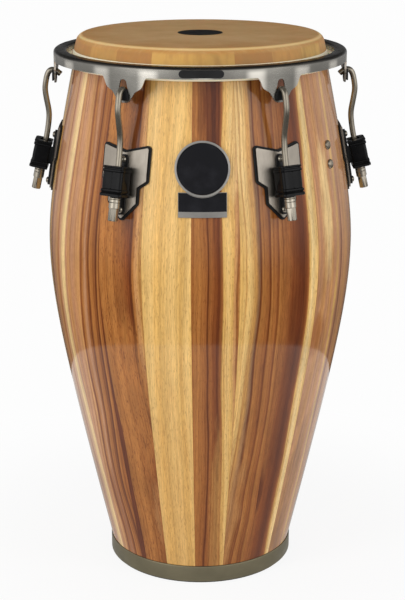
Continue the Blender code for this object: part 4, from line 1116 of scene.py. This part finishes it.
def rim_crown(rim, head):
    """(radius, height) points from the band over the rounded top, down the lip to the hoop and back inside."""
    seat = head.hoop_z + math.sqrt(head.tuck_r ** 2 - (rim.lip_r - head.hoop_r) ** 2) + GAP
    turn_in = (rim.radius - rim.round_r, rim.top_z - rim.round_r)
    lip_out = rim.lip_r + rim.sheet
    crown = arc(turn_in, rim.round_r, 0, 90, 8)
    crown += arc((rim.lip_r + LIP_BEND, rim.top_z - LIP_BEND), LIP_BEND, 90, 180, 5)
    crown += [(rim.lip_r, seat + LIP_EDGE), (rim.lip_r + LIP_EDGE, seat), (lip_out - LIP_EDGE, seat),
              (lip_out, seat + LIP_EDGE), (lip_out, rim.top_z - rim.sheet)]
    return crown + arc(turn_in, rim.round_r - rim.sheet, 90, 0, 6)


def build_rim(rim, head, material):
    """The rim as one bent sheet: ears and band, a rounded top and a lip on the flesh hoop."""
    curve = smooth_path([(s, EAR_BOTTOM + up) for s, up in EAR_OUTLINE], 0.0012)
    columns = rim_columns(rim, curve)
    bm = bmesh.new()
    loops = []
    for azimuth, across in columns:
        heights = rim_rows(across, rim, curve)
        section = [(rim.radius, z) for z in heights] + rim_crown(rim, head)
        section += [(rim.radius - rim.sheet, z) for z in reversed(heights)]
        loops.append([bm.verts.new((r * math.sin(azimuth), -r * math.cos(azimuth), z)) for r, z in section])
    count = len(loops[0])
    slot_low, slot_high = 2, 4
    open_rows = {*range(slot_low, slot_high), *range(count - 1 - slot_high, count - 1 - slot_low)}
    for c, (_, across) in enumerate(columns):
        n = (c + 1) % len(columns)
        in_slot = max(abs(across), abs(columns[n][1])) <= SLOT_FOOT[0]
        for i in range(count):
            j = (i + 1) % count
            if not (in_slot and i in open_rows):
                bm.faces.new((loops[c][i], loops[n][i], loops[n][j], loops[c][j]))
        if in_slot:
            for row in (slot_low, slot_high):
                back = count - 1 - row
                bm.faces.new((loops[c][row], loops[n][row], loops[n][back], loops[c][back]))
    for c, (_, across) in enumerate(columns):
        if abs(across) == SLOT_FOOT[0]:
            for i in range(slot_low, slot_high):
                back = count - 1 - i
                bm.faces.new((loops[c][i], loops[c][i + 1], loops[c][back - 1], loops[c][back]))
    bmesh.ops.remove_doubles(bm, verts=bm.verts, dist=0.000002)
    bmesh.ops.dissolve_degenerate(bm, dist=0.000002, edges=bm.edges)
    return softened(finished("tension_hoop", bm, material, sharp=38), 0.0006, 2, 50)


# The label: its azimuth, its drop below the band's middle, and how far its back stands off the band
LABEL_TURN, LABEL_DROP = -0.0065, 0.0008
LABEL_BACK = 0.00003
LABEL_HALF_W, LABEL_HALF_H, LABEL_T = 0.0285, 0.0050, 0.0003


def painted_band_light(finish, place, tone):
    """Painted highlights along the band between the ears, and a painted dark reflection on the rolled top."""
    right, back, up = finish.parts(place)
    wave = finish.math("COSINE", finish.times(finish.azimuth(right, back), 3.0 * STATIONS))
    light = finish.times(finish.softly(wave, 0.05, 1.0), finish.softly(up, 0.7400, 0.7330))
    # Painted highlight: pale nickel in soft lobes every twenty degrees, brightest low on the band
    tone = finish.mixed(light, tone, linear((220, 215, 205)))
    # Painted reflection of the dark overhead: near black over the rolled top
    return finish.mixed(finish.softly(up, 0.7376, 0.7398, 0.0, 0.88), tone, linear((42, 39, 36)))


def rim_label(rim, material):
    """A bare pill-shaped label bent onto the band."""
    middle = (rim.band_z + rim.top_z) / 2 - LABEL_DROP
    low, high = rim.radius + LABEL_BACK, rim.radius + LABEL_T
    rings = []
    for k in range(41):
        s = -LABEL_HALF_W * math.cos(math.pi * k / 40)
        past = max(0.0, abs(s) - (LABEL_HALF_W - LABEL_HALF_H)) / LABEL_HALF_H
        half = max(0.0002, LABEL_HALF_H * math.sqrt(max(0.0, 1 - past * past)))
        a = LABEL_TURN + s / rim.radius
        rings.append([(r * math.sin(a), -r * math.cos(a), middle + up)
                      for r, up in ((low, -half), (high, -half), (high, half), (low, half))])
    return lofted("rim_label", rings, material)


class CONGA_OT_build_rim(Operator):
    """Build the tension rim with its ears, and the bare pill label on its band"""
    bl_idname = "conga.build_rim"
    bl_label = "Build Rim"

    def execute(self, context):
        rim, head = context.scene.conga_rim, context.scene.conga_head
        # The rim's nickel gets painted highlights and a painted dark top
        metal = nickel("satin_nickel", rim.colour, rim.roughness, 0.03, painted_band_light)
        placed(build_rim(rim, head, metal), "rim", "satin_nickel", "tension_rim")
        placed(rim_label(rim, moulded("label_black", linear((20, 20, 21)), 0.4)), "rim", "black_enamel")
        return {"FINISHED"}


# Right half of a seat's plug from its top down, how far it stands out of the sheet, and its flange
PLUG_SIDE = ((0.0054, 0.7090), (0.0077, 0.7050), (0.0077, 0.6988))
PLUG_TOP_HALF, PLUG_TOP_DROP = 0.0047, 0.002
SEAT_PROUD = 0.0006
FLANGE_W, FLANGE_T = 0.0012, 0.0022
# How much wider than the rod the groove in a seat is
GROOVE_PLAY = 0.00035
# Centre line of a hook over its ear: (outward from the rim, above the seat), with its highest point
CROOK = ((-0.0085, -0.0079), (-0.0045, -0.0041), (-0.0004, -0.0010), (0.0027, 0.0000), (0.0060, -0.0011),
         (0.0088, -0.0049), (0.0108, -0.0112))
CREST = 3


class CONGA_OT_build_ear_seats(Operator):
    """Build the moulded seats that the hooks rest on in the ears"""
    bl_idname = "conga.build_ear_seats"
    bl_label = "Build Ear Seats"

    def execute(self, context):
        rim, lugs = context.scene.conga_rim, context.scene.conga_lugs
        plastic = moulded("seat_plastic", linear((16, 16, 17)), 0.55)
        plug = mirrored([(PLUG_TOP_HALF, lugs.seat_z - PLUG_TOP_DROP), *PLUG_SIDE])
        flange = grown(plug, FLANGE_W)
        ear_in, ear_out = rim.radius - rim.sheet - SEAT_PROUD, rim.radius + SEAT_PROUD
        sections = ((ear_in, plug), (ear_out, plug), (ear_out, flange), (ear_out + FLANGE_T, flange))
        seat = lofted("seat", [[(r, s, z) for s, z in outline] for r, outline in sections], plastic)
        (start, low), (out, up) = CROOK[0], CROOK[CREST]
        turned = Vector((out - start, 0, up - low)).to_track_quat("Z", "Y").to_matrix().to_4x4()
        groove_r = lugs.rod_r + GROOVE_PLAY
        bm = bmesh.new()
        bmesh.ops.create_cone(bm, cap_ends=True, segments=40, radius1=groove_r, radius2=groove_r, depth=0.05)
        crest = Matrix.Translation((rim.radius + out, 0, lugs.seat_z + up))
        groove = finished("groove", bm, plastic, crest @ turned)
        cut = seat.modifiers.new("cut", "BOOLEAN")
        cut.object = groove
        cut.solver = "EXACT"
        bpy.context.view_layer.update()
        mesh = bpy.data.meshes.new_from_object(seat.evaluated_get(bpy.context.evaluated_depsgraph_get()))
        seat.modifiers.clear()
        seat.data = mesh
        mesh.shade_smooth()
        mesh.set_sharp_from_angle(angle=math.radians(32))
        at_stations(softened(seat, 0.0004, 2, 50), "ear_seat", "rim", "black_plastic", "ear_insert")
        bpy.data.objects.remove(groove)
        return {"FINISHED"}


# Lugs

# Bow of a hook's neck: (share of the way down, outward)
NECK_BOW = ((0.13, 0.0016), (0.37, -0.0002), (0.64, -0.0028), (0.87, -0.0012))
# Places down a hook's axis: the end of its neck, the sleeve, the nut and the rod's end
NECK_END = 0.0126
SLEEVE_START = 0.0030
SLEEVE_END = 0.0420
NUT_START = 0.0440
ROD_END = 0.0700
ROD_CHAMFER, SLEEVE_CHAMFER = 0.0007, 0.0008
# How much wider than the rod the bores of sleeve, washer and nut are
BORE_PLAY = 0.0003
NUT_HEX_R = 0.0066
# Half the pitch of the thread, and the lengths down the rod between which it comes in
HALF_PITCH = 0.0007
THREAD_FADE = (0.1190, 0.1215)
# How far above the staves the two faces of each sheet lie
GASKET_LIFTS, PLATE_LIFTS, STRAP_LIFTS = (0.0004, 0.0023), (0.0027, 0.0046), (0.0049, 0.0078)
GASKET_BORDER = 0.0032
# Right half of a side plate from its top: (across, height)
PLATE_HALF = ((0.0, 0.6290), (0.0320, 0.6370), (0.0320, 0.5950), (0.0200, 0.5865), (0.0200, 0.5660), (0.0, 0.5450))
STRAP_FOOT, STRAP_TOP, STRAP_HALF = 0.5500, 0.6270, 0.00615
SCREW_HEIGHTS = {"upper": 0.6205, "lower": 0.5565}
# The web between strap and sleeve: the middle of its height down the axis, and its foot above the staves
WEB_MIDDLE = 0.0210
WEB_FOOT = 0.0064


def threaded_nickel(lugs):
    """Nickel plating with a rolled thread on the rod's lower end."""
    finish = Finish("hook_nickel")
    along = finish.parts(finish.uv("turned"))[1]
    cloud = finish.noise(finish.place(), 40, 3)
    rgb, rough = tuple(lugs.hook_colour), lugs.nickel_roughness
    finish.base(finish.over(rgb, cloud, 0.35, 0.7, 1.0, toned(rgb, 0.7)))
    finish.roughness(finish.mapped(cloud, 0.3, 0.7, rough * 0.8, rough * 1.4))
    finish.set(metallic=0.78)
    crest = finish.math("PINGPONG", along, HALF_PITCH)
    height = finish.times(finish.math("DIVIDE", crest, HALF_PITCH), finish.mapped(along, *THREAD_FADE))
    return finish.bump(height, 0.0004, 0.9).material


def hook_path(rim, lugs):
    """(outward, up) points of a hook's centre line, from its crook to its threaded end."""
    crook = [(rim.radius + out, lugs.seat_z + up) for out, up in CROOK]
    top = (rim.radius + CROOK[-1][0] + 0.0014, lugs.seat_z - 0.0190)
    bottom = axis_point(-NECK_END / math.cos(lugs.lean))
    neck = [(top[0] + (bottom.x - top[0]) * t + bow, top[1] + (bottom.z - top[1]) * t) for t, bow in NECK_BOW]
    straight = [tuple(axis_point(down).xz) for down in (-NECK_END / 2, NECK_END, ROD_END)]
    return smooth_path(crook + [top] + neck + straight, 0.0022)


class CONGA_OT_build_hooks(Operator):
    """Build the bent tuning hooks"""
    bl_idname = "conga.build_hooks"
    bl_label = "Build Hooks"

    def execute(self, context):
        rim, lugs = context.scene.conga_rim, context.scene.conga_lugs
        path = eased(hook_path(rim, lugs), 10)
        first = Vector(path[0]) - Vector(path[1])
        path = [tuple(Vector(path[0]) + first.normalized() * 0.0002)] + path
        radii = [lugs.rod_r] * len(path)
        radii[0] = radii[-1] = lugs.rod_r - ROD_CHAMFER
        path.insert(-1, tuple(Vector(path[-1]).lerp(Vector(path[-2]), 0.4)))
        radii.insert(-1, lugs.rod_r)
        hook = swept("hook", path, radii, 24, threaded_nickel(lugs))
        at_stations(hook, "hook_rod", "hook_{}", "bright_steel", "tuning_hook")
        return {"FINISHED"}


def round_rings(*sizes):
    """Level circles of points, from (radius, depth below the local origin) pairs."""
    return [[(x, y, -down) for x, y in circle(radius, 48)] for radius, down in sizes]


def hexagon_ring(radius, down, cut_back):
    """A level hexagon of points with its corners cut back by a share of its radius."""
    ring = []
    for x, y, z in round_rings((radius, down))[0]:
        from_flat = math.atan2(y, x) % (math.pi / 3) - math.pi / 6
        reach = min(math.cos(math.pi / 6) / math.cos(from_flat), 1 - cut_back)
        ring.append((x * reach, y * reach, z))
    return ring


class CONGA_OT_build_nuts(Operator):
    """Build the tuning nuts and the washers above them"""
    bl_idname = "conga.build_nuts"
    bl_label = "Build Nuts"

    def execute(self, context):
        lugs = context.scene.conga_lugs
        bright = nickel("nut_nickel", lugs.nickel, lugs.nickel_roughness)
        bore, r = lugs.rod_r + BORE_PLAY, lugs.nut_r
        rings = round_rings((bore + 0.0004, 0.0), (r - 0.0006, 0.0), (r, 0.0006), (r, 0.0036), (r - 0.0003, 0.0041),
                            (r, 0.0046), (r, 0.0112), (r - 0.0007, 0.0120))
        rings += [hexagon_ring(NUT_HEX_R, 0.0122, 0.03), hexagon_ring(NUT_HEX_R, 0.0270, 0.02)]
        rings += round_rings((0.0057, 0.0280), (bore + 0.0005, 0.0280), (bore, 0.0274), (bore, 0.0005))
        nut = lofted("nut", rings, bright, ends=False, sharp=24)
        at_stations(nut, "hook_nut", "nut_{}", "bright_steel", "tuning_nut",
                    lambda number: axis_matrix(NUT_START) @ Matrix.Rotation(number * 0.7, 4, "Z"))
        profile = [(bore, 0), (r - 0.0003, 0), (r, -0.0003), (r, -0.0011), (r - 0.0003, -0.0014), (bore, -0.0014)]
        at_stations(lathed("washer", profile, 40, bright), "sleeve_washer", "shell", "bright_steel", "nut_washer",
                    lambda number: axis_matrix(SLEEVE_END + GAP))
        return {"FINISHED"}


def plate_steel(lugs):
    """Satin steel plate with fine upright brushing and soft cloudy wear."""
    finish = Finish("plate_steel")
    place = finish.uv("turned")
    brush = finish.noise(finish.stretched(place, (2600, 60, 1)), detail=2)
    cloud = finish.noise(place, 60, 3)
    rgb = tuple(lugs.plate_colour)
    tone = finish.over(rgb, cloud, 0.35, 0.7, 1.0, toned(rgb, 0.84))
    finish.base(finish.over(tone, brush, 0.4, 0.7, 0.3, toned(rgb, 0.7)))
    finish.roughness(finish.mapped(brush, 0.3, 0.7, 0.34, 0.46))
    finish.set(metallic=1.0)
    return finish.bump(brush, 0.00004, 0.4).material


class CONGA_OT_build_side_plates(Operator):
    """Build the side plates and the rubber gaskets behind them"""
    bl_idname = "conga.build_side_plates"
    bl_label = "Build Side Plates"

    def execute(self, context):
        lugs = context.scene.conga_lugs
        outline = mirrored(PLATE_HALF)
        gasket = shell_sheet("gasket", rounded(grown(outline, GASKET_BORDER), 0.0052), GASKET_LIFTS,
                             moulded("gasket_rubber", lugs.rubber, 0.62))
        plate = shell_sheet("plate", rounded(outline, 0.0020), PLATE_LIFTS, plate_steel(lugs))
        at_stations(softened(gasket, 0.0006), "gasket", "shell", "black_rubber", "plate_gasket")
        at_stations(softened(plate, 0.0004), "plate", "shell", "plate_metal", "side_plate")
        return {"FINISHED"}


def domed_head(name, radius, height, recess, material):
    """A domed screw head. With a recess it has a cross for a driver."""
    steps = 12
    turns = [math.pi / 2 * k / steps for k in range(steps)]
    profile = [(radius * math.sin(a), height * math.cos(a) ** 0.8) for a in turns] + [(radius, 0.0), (0.0, -0.0002)]
    head = lathed(name, profile, 64, material, closed=False, sharp=50)
    if recess:
        arm, blade = radius * 0.55, radius * 0.15
        for vert in head.data.vertices:
            x, y = abs(vert.co.x), abs(vert.co.y)
            if (x < blade and y < arm or y < blade and x < arm) and vert.co.z > 0:
                vert.co.z = max(0.0, vert.co.z - height * 0.45)
    return head


def inside_nut(name, radius, thread_r, wall, material):
    """Washer, nut and screw end inside the shell. Local z = 0 is the shell's face."""
    start = wall + 0.0006
    rings = round_rings((thread_r, start - 0.0100), (thread_r, start), (0.0070, start), (0.0070, start + 0.0012),
                        (radius * 0.92, start + 0.0012))
    rings += [hexagon_ring(radius, start + down, 0.03) for down in (0.0016, 0.0048)]
    rings += round_rings((radius * 0.88, start + 0.0052), (thread_r, start + 0.0052), (thread_r, start + 0.0064),
                         (thread_r - 0.0004, start + 0.0067))
    return lofted(name, rings, material, sharp=24)


class CONGA_OT_build_brackets(Operator):
    """Build the black bracket straps with their webs, sleeves and screws"""
    bl_idname = "conga.build_brackets"
    bl_label = "Build Brackets"

    def execute(self, context):
        lugs, shell = context.scene.conga_lugs, context.scene.conga_shell
        coat = moulded("bracket_black", linear((18, 18, 19)), 0.36, 420, 0.00008)
        bright = nickel("screw_nickel", lugs.nickel, lugs.nickel_roughness * 0.8)
        outline = arc((0, STRAP_TOP - STRAP_HALF), STRAP_HALF, 0, 180, 10)
        outline += arc((0, STRAP_FOOT + STRAP_HALF), STRAP_HALF, 180, 360, 10)
        strap = shell_sheet("strap", outline, STRAP_LIFTS, coat)
        middle = axis_point(WEB_MIDDLE)
        web_in = shell_radius(middle.z) + WEB_FOOT - middle.x
        bars = [[(web_in, -half, -down), (0, -half, -down), (0, half, -down), (web_in, half, -down)]
                for down, half in ((0.0105, 0.0042), (0.0125, 0.0045), (0.0315, 0.0045), (0.0335, 0.0042))]
        web = lofted("web", bars, coat, axis_matrix(0))
        bore, outer = lugs.rod_r + BORE_PLAY, lugs.sleeve_r
        sleeve = lathed("sleeve", [(bore, -SLEEVE_START), (outer - SLEEVE_CHAMFER, -SLEEVE_START),
                                   (outer, -SLEEVE_START - SLEEVE_CHAMFER), (outer, SLEEVE_CHAMFER - SLEEVE_END),
                                   (outer - SLEEVE_CHAMFER, -SLEEVE_END), (bore, -SLEEVE_END)],
                        48, coat, axis_matrix(0))
        bracket = softened(joined("bracket", (strap, web, sleeve)), 0.0005)
        at_stations(bracket, "bracket", "shell", "black_metal", "lug_bracket")
        head = domed_head("screw_head", 0.0043, 0.0030, True, bright)
        nut = inside_nut("screw_nut", 0.0046, 0.0024, shell.wall, bright)
        for number, azimuth in stations():
            for word, height in SCREW_HEIGHTS.items():
                seat = surface_frame(azimuth, height, STRAP_LIFTS[1]) @ Matrix.Rotation(number + height * 40, 4, "Z")
                inside = surface_frame(azimuth, height)
                placed(copied(head, f"{word}_screw_{number}", seat), "shell", "bright_steel")
                placed(copied(nut, f"{word}_screw_nut_{number}", inside), "shell", "bright_steel")
        bpy.data.objects.remove(head)
        bpy.data.objects.remove(nut)
        return {"FINISHED"}


# Section down a jacket's side: (down from its top, beyond its plain outline), in millimetres
JACKET_RIBS = ((0.0, -0.8), (0.5, -0.1), (0.9, 0.0), (2.1, 0.0), (2.5, -0.2), (2.9, -1.1), (4.2, -1.1), (4.6, -0.2),
               (5.0, 0.0), (7.0, 0.0), (7.5, -0.2), (8.0, -1.1), (8.6, -1.1), (18.0, -0.9), (28.8, -1.1),
               (29.4, -1.1), (30.4, -0.1), (31.0, 0.0), (32.6, 0.0), (33.1, -0.2), (33.6, -0.8), (34.5, -0.5),
               (35.6, 0.4), (36.4, 0.6), (38.4, 0.6), (39.0, -0.1))
GROOVE_ENDS = (8.6, 28.8)
GROOVE_DEPTH = 0.0007
JACKET_TOP = 0.0015
# Plain outline: outward, back towards the shell, half its width, and its corners' rounding
JACKET_OUT, JACKET_BACK, JACKET_HALF, JACKET_CORNER = 0.0145, 0.0098, 0.0158, 0.0042


def jacket_ring(down, growth, groove):
    """A rounded oblong round the hook's axis, with a narrow upright groove at its outer face."""
    out, back, half = JACKET_OUT + growth, JACKET_BACK + growth, JACKET_HALF + growth
    points = [(out - groove, 0.0), (out - groove, 0.0004), (out, 0.0010), (out, half * 0.45)]
    points += arc((out - JACKET_CORNER, half - JACKET_CORNER), JACKET_CORNER, 0, 90, 5)
    points += [(0.0, half)] + arc((0.0016 - back, half - 0.0016), 0.0016, 90, 180, 3) + [(-back, half * 0.45)]
    outline = points + [(-back, 0.0)] + [(x, -y) for x, y in reversed(points[1:])]
    return [(x, y, -down) for x, y in outline]


class CONGA_OT_build_jackets(Operator):
    """Build the ribbed rubber jackets round the sleeves"""
    bl_idname = "conga.build_jackets"
    bl_label = "Build Jackets"

    def execute(self, context):
        lugs = context.scene.conga_lugs
        rubber = moulded("jacket_rubber", lugs.rubber, 0.13, 700, 0.00002, shine=0.12)
        ribs = [jacket_ring(JACKET_TOP + down / 1000, growth / 1000,
                            GROOVE_DEPTH if GROOVE_ENDS[0] <= down <= GROOVE_ENDS[1] else 0.0)
                for down, growth in JACKET_RIBS]
        bore = lugs.sleeve_r + GAP
        top, bottom = ([tuple(Vector((x, y, 0)).normalized() * bore + Vector((0, 0, -JACKET_TOP - down)))
                        for x, y, _ in ribs[0]] for down in (0.0004, 0.0386))
        jacket = lofted("jacket", [top, *ribs, bottom], rubber, axis_matrix(0), ends=False, sharp=30)
        at_stations(jacket, "jacket", "shell", "black_rubber", "receiver_jacket")
        return {"FINISHED"}


class CONGA_OT_build_side_bolts(Operator):
    """Build the two domed bolts on the right of the shell"""
    bl_idname = "conga.build_side_bolts"
    bl_label = "Build Side Bolts"

    def execute(self, context):
        shell = context.scene.conga_shell
        azimuth = math.radians(60)
        steel = nickel("bolt_nickel", linear((152, 142, 126)), 0.34)
        for number, height in ((1, 0.6246), (2, 0.5994)):
            head = domed_head(f"side_bolt_head_{number}", 0.0064, 0.0036, False, steel)
            head.data.transform(surface_frame(azimuth, height, GAP))
            placed(head, "shell", "bright_steel", f"side_bolt_{number}")
            nut = inside_nut(f"side_bolt_nut_{number}", 0.0052, 0.0030, shell.wall, steel)
            nut.data.transform(surface_frame(azimuth, height))
            placed(nut, "shell", "bright_steel")
        return {"FINISHED"}


# How far above the staves the faces of the badge's pieces lie
BEZEL_LIFTS, DISC_LIFTS = (0.0004, 0.0030), (0.0004, 0.0023)
NAME_LIFTS, FIELD_LIFTS = (0.0004, 0.0017), (0.0016, 0.0020)
# Heights of the name plate and of the black field in it
NAME_LOW, NAME_HIGH = 0.5518, 0.5835
FIELD_LOW, FIELD_INSET = 0.5592, 0.0006


class CONGA_OT_build_badge(Operator):
    """Build the bare round badge and the bare name plate"""
    bl_idname = "conga.build_badge"
    bl_label = "Build Badge"

    def execute(self, context):
        badge = context.scene.conga_badge
        middle = (0.0, badge.height)
        metal = nickel("badge_metal", badge.metal, 0.30, 0.04)
        enamel = moulded("badge_enamel", badge.enamel, 0.45, 300, 0.00001, 0.08)
        inner = badge.radius - badge.bezel_w

        def notched(inset, bottom, top):
            """A plate's outline, cut round along its top to clear the badge."""
            notch, half = badge.radius + GAP + inset, badge.plate_w / 2 - inset
            across = math.sqrt(notch ** 2 - (badge.height - top) ** 2)
            spread = math.degrees(math.asin(across / notch))
            curve = arc(middle, notch, 270 + spread, 270 - spread, 16)
            return [(-half, bottom), (half, bottom), (half, top)] + curve + [(-half, top)]

        ring = shell_sheet("badge_rim", circle(badge.radius, 72, middle), BEZEL_LIFTS, metal,
                           hole=circle(inner, 72, middle))
        face = shell_sheet("badge_face", circle(inner - GAP, 72, middle), DISC_LIFTS, enamel)
        plate = shell_sheet("name_back", notched(0.0, NAME_LOW, NAME_HIGH), NAME_LIFTS, metal)
        field = shell_sheet("name_field", notched(FIELD_INSET, FIELD_LOW, NAME_HIGH - FIELD_INSET), FIELD_LIFTS,
                            enamel)
        for piece, edge, segments, slot, nodes in ((ring, 0.0006, 3, "bezel_metal", ["badge_bezel"]),
                                                   (face, 0.0003, 2, "black_enamel", ["badge_disc"]),
                                                   (plate, 0.0003, 2, "bezel_metal", ["name_plate"]),
                                                   (field, 0.0001, 2, "black_enamel", [])):
            piece.data.transform(turn_to(0))
            placed(softened(piece, edge, segments), "shell", slot, *nodes)
        return {"FINISHED"}


# Stage

# Background in scene light
WHITE = 0.983
LAMP_TARGET = (0, 0, 0.45)


def studio_sheet(stage):
    """Round white sheet that takes the drum's shadow and mirrors in its lacquer. In reflections it glows, darkened
    towards the drum by a painted shadow and dimmer towards the back.
    """
    bm = bmesh.new()
    rings = [[bm.verts.new((x, y, -GAP)) for x, y in circle(r, 128)] for r in (0.1, 0.3, stage.sheet_r)]
    bm.faces.new(rings[0])
    for near, far in zip(rings, rings[1:]):
        bridged(bm, near, far)
    finish = Finish("white_sheet")
    finish.base((0.86, 0.86, 0.86)).roughness(0.8)
    finish.set(specular_ior_level=0.1)
    light = finish.node("ShaderNodeLightPath")
    camera = light.outputs["Is Camera Ray"]
    shiny = finish.math("MAXIMUM", light.outputs["Is Glossy Ray"], light.outputs["Is Transmission Ray"])
    place = finish.place()
    away = finish.node("ShaderNodeVectorMath", operation="LENGTH")
    finish.link(place, away.inputs[0])
    radius = away.outputs["Value"]
    # Glow seen only in reflections: darker towards the drum as painted shadow, dimmer towards the back
    lit = finish.times(finish.mapped(radius, 0.30, 0.75, 0.45 * stage.sheet_glow, stage.sheet_glow),
                       finish.softly(finish.parts(place)[1], 0.0, 0.6, 1.0, 0.65))
    strength = finish.plus(finish.times(finish.minus(1.0, camera), lit), finish.times(camera, WHITE))
    glow = finish.node("ShaderNodeEmission")
    glow.inputs["Color"].default_value = (1, 1, 1, 1)
    finish.link(strength, glow.inputs["Strength"])
    white = finish.times(camera, finish.softly(radius, 0.22, 0.60, 0.90, 1.0))
    veil = finish.node("ShaderNodeMixShader")
    finish.link(finish.math("MAXIMUM", white, shiny), veil.inputs[0])
    finish.link(finish.shader.outputs[0], veil.inputs[1])
    finish.link(glow.outputs[0], veil.inputs[2])
    finish.link(veil.outputs[0], finish.tree.nodes["Material Output"].inputs["Surface"])
    return finished("studio_sheet", bm, finish.material)


def studio_world(stage):
    """White behind the drum, darker overhead and in front, with an even soft light for matt surfaces."""
    world = bpy.data.worlds.new("studio")
    bpy.context.scene.world = world
    world.use_nodes = True
    world.node_tree.nodes.clear()
    sky = Nodes(world.node_tree)
    light = sky.node("ShaderNodeLightPath")
    camera = light.outputs["Is Camera Ray"]
    shiny = sky.math("MAXIMUM", light.outputs["Is Glossy Ray"], light.outputs["Is Transmission Ray"])
    right, back, up = sky.parts(sky.node("ShaderNodeTexCoord").outputs["Generated"])
    level = sky.times(sky.softly(up, -0.36, 0.12), sky.softly(up, 0.35, 0.75, 1.0, 0.05))
    hidden = sky.times(sky.softly(back, 0.2, 0.6, 0.0, 0.96), sky.softly(up, 0.0, 0.2))
    around = sky.times(sky.softly(back, 0.8, -0.1, 0.30, 1.0), sky.minus(1.0, hidden))
    aside = sky.math("ABSOLUTE", right)
    strips = sky.times(sky.softly(aside, 0.25, 0.60, 0.6, 1.35), sky.softly(aside, 0.80, 0.97, 1.0, 0.5))
    panels = sky.times(sky.times(level, around), sky.times(strips, stage.panels))
    plain = sky.times(sky.minus(1.0, shiny), stage.sky)
    mixed = sky.plus(plain, sky.times(shiny, sky.plus(panels, 0.05)))
    unseen = sky.times(mixed, sky.minus(1.0, camera))
    background = sky.node("ShaderNodeBackground")
    background.inputs["Color"].default_value = (1, 1, 1, 1)
    sky.link(sky.plus(unseen, sky.times(camera, WHITE)), background.inputs["Strength"])
    sky.link(background.outputs[0], sky.node("ShaderNodeOutputWorld").inputs["Surface"])


def softbox(name, place, width, height, power):
    """A rectangular lamp that looks at the middle of the drum."""
    data = bpy.data.lights.new(name, "AREA")
    data.shape = "RECTANGLE"
    data.size, data.size_y, data.energy = width, height, power
    lamp = shown(name, data)
    lamp.location = place
    lamp.visible_glossy = False
    lamp.rotation_mode = "QUATERNION"
    lamp.rotation_quaternion = (Vector(place) - Vector(LAMP_TARGET)).to_track_quat("Z", "Y")


class CONGA_OT_build_stage(Operator):
    """Build the studio sheet, the lamps and the camera"""
    bl_idname = "conga.build_stage"
    bl_label = "Build Stage"

    def execute(self, context):
        stage = context.scene.conga_stage
        studio_sheet(stage)
        studio_world(stage)
        softbox("left_softbox", (-1.5, -1.3, 1.3), 0.7, 1.6, stage.key_power)
        softbox("right_softbox", (1.7, -1.1, 1.1), 0.6, 1.6, stage.fill_power)
        data = bpy.data.cameras.new("camera")
        data.sensor_width = 36.0
        data.sensor_fit = "AUTO"
        data.lens = stage.lens
        camera = shown("camera", data)
        back = turn_to(stage.camera_turn) @ Vector((stage.camera_distance, 0, 0))
        camera.location = (back.x, back.y, stage.camera_z)
        camera.rotation_euler = (math.pi / 2 - stage.camera_pitch, 0, stage.camera_turn - stage.camera_yaw)
        context.scene.camera = camera
        context.scene.view_settings.view_transform = "Standard"
        return {"FINISHED"}


OPERATORS = (CONGA_OT_build_staves, CONGA_OT_build_foot, CONGA_OT_build_head, CONGA_OT_build_rim,
             CONGA_OT_build_ear_seats, CONGA_OT_build_hooks, CONGA_OT_build_nuts, CONGA_OT_build_side_plates,
             CONGA_OT_build_brackets, CONGA_OT_build_jackets, CONGA_OT_build_side_bolts, CONGA_OT_build_badge,
             CONGA_OT_build_stage)
SETTINGS = {"conga_shell": ShellSettings, "conga_foot": FootSettings, "conga_head": HeadSettings,
            "conga_rim": RimSettings, "conga_lugs": LugSettings, "conga_badge": BadgeSettings,
            "conga_stage": StageSettings}


class CONGA_PT_panel(Panel):
    """Lists the conga's pieces in the 3D view's sidebar"""
    bl_label = "Conga"
    bl_idname = "CONGA_PT_panel"
    bl_space_type = "VIEW_3D"
    bl_region_type = "UI"
    bl_category = "Conga"

    def draw(self, context):
        for operator in OPERATORS:
            self.layout.operator(operator.bl_idname)
        for name, settings in SETTINGS.items():
            box = self.layout.box()
            box.label(text=settings.__doc__)
            for field in settings.__annotations__:
                box.prop(getattr(context.scene, name), field)


def register():
    for cls in (*SETTINGS.values(), *OPERATORS, CONGA_PT_panel):
        bpy.utils.register_class(cls)
    for name, settings in SETTINGS.items():
        setattr(bpy.types.Scene, name, PointerProperty(type=settings))


def unregister():
    for name in SETTINGS:
        delattr(bpy.types.Scene, name)
    for cls in reversed((*SETTINGS.values(), *OPERATORS, CONGA_PT_panel)):
        bpy.utils.unregister_class(cls)


def main():
    """Registers the add-on and builds every piece in order."""
    register()
    for operator in OPERATORS:
        group, action = operator.bl_idname.split(".")
        getattr(getattr(bpy.ops, group), action)()


if __name__ == "__main__":
    main()
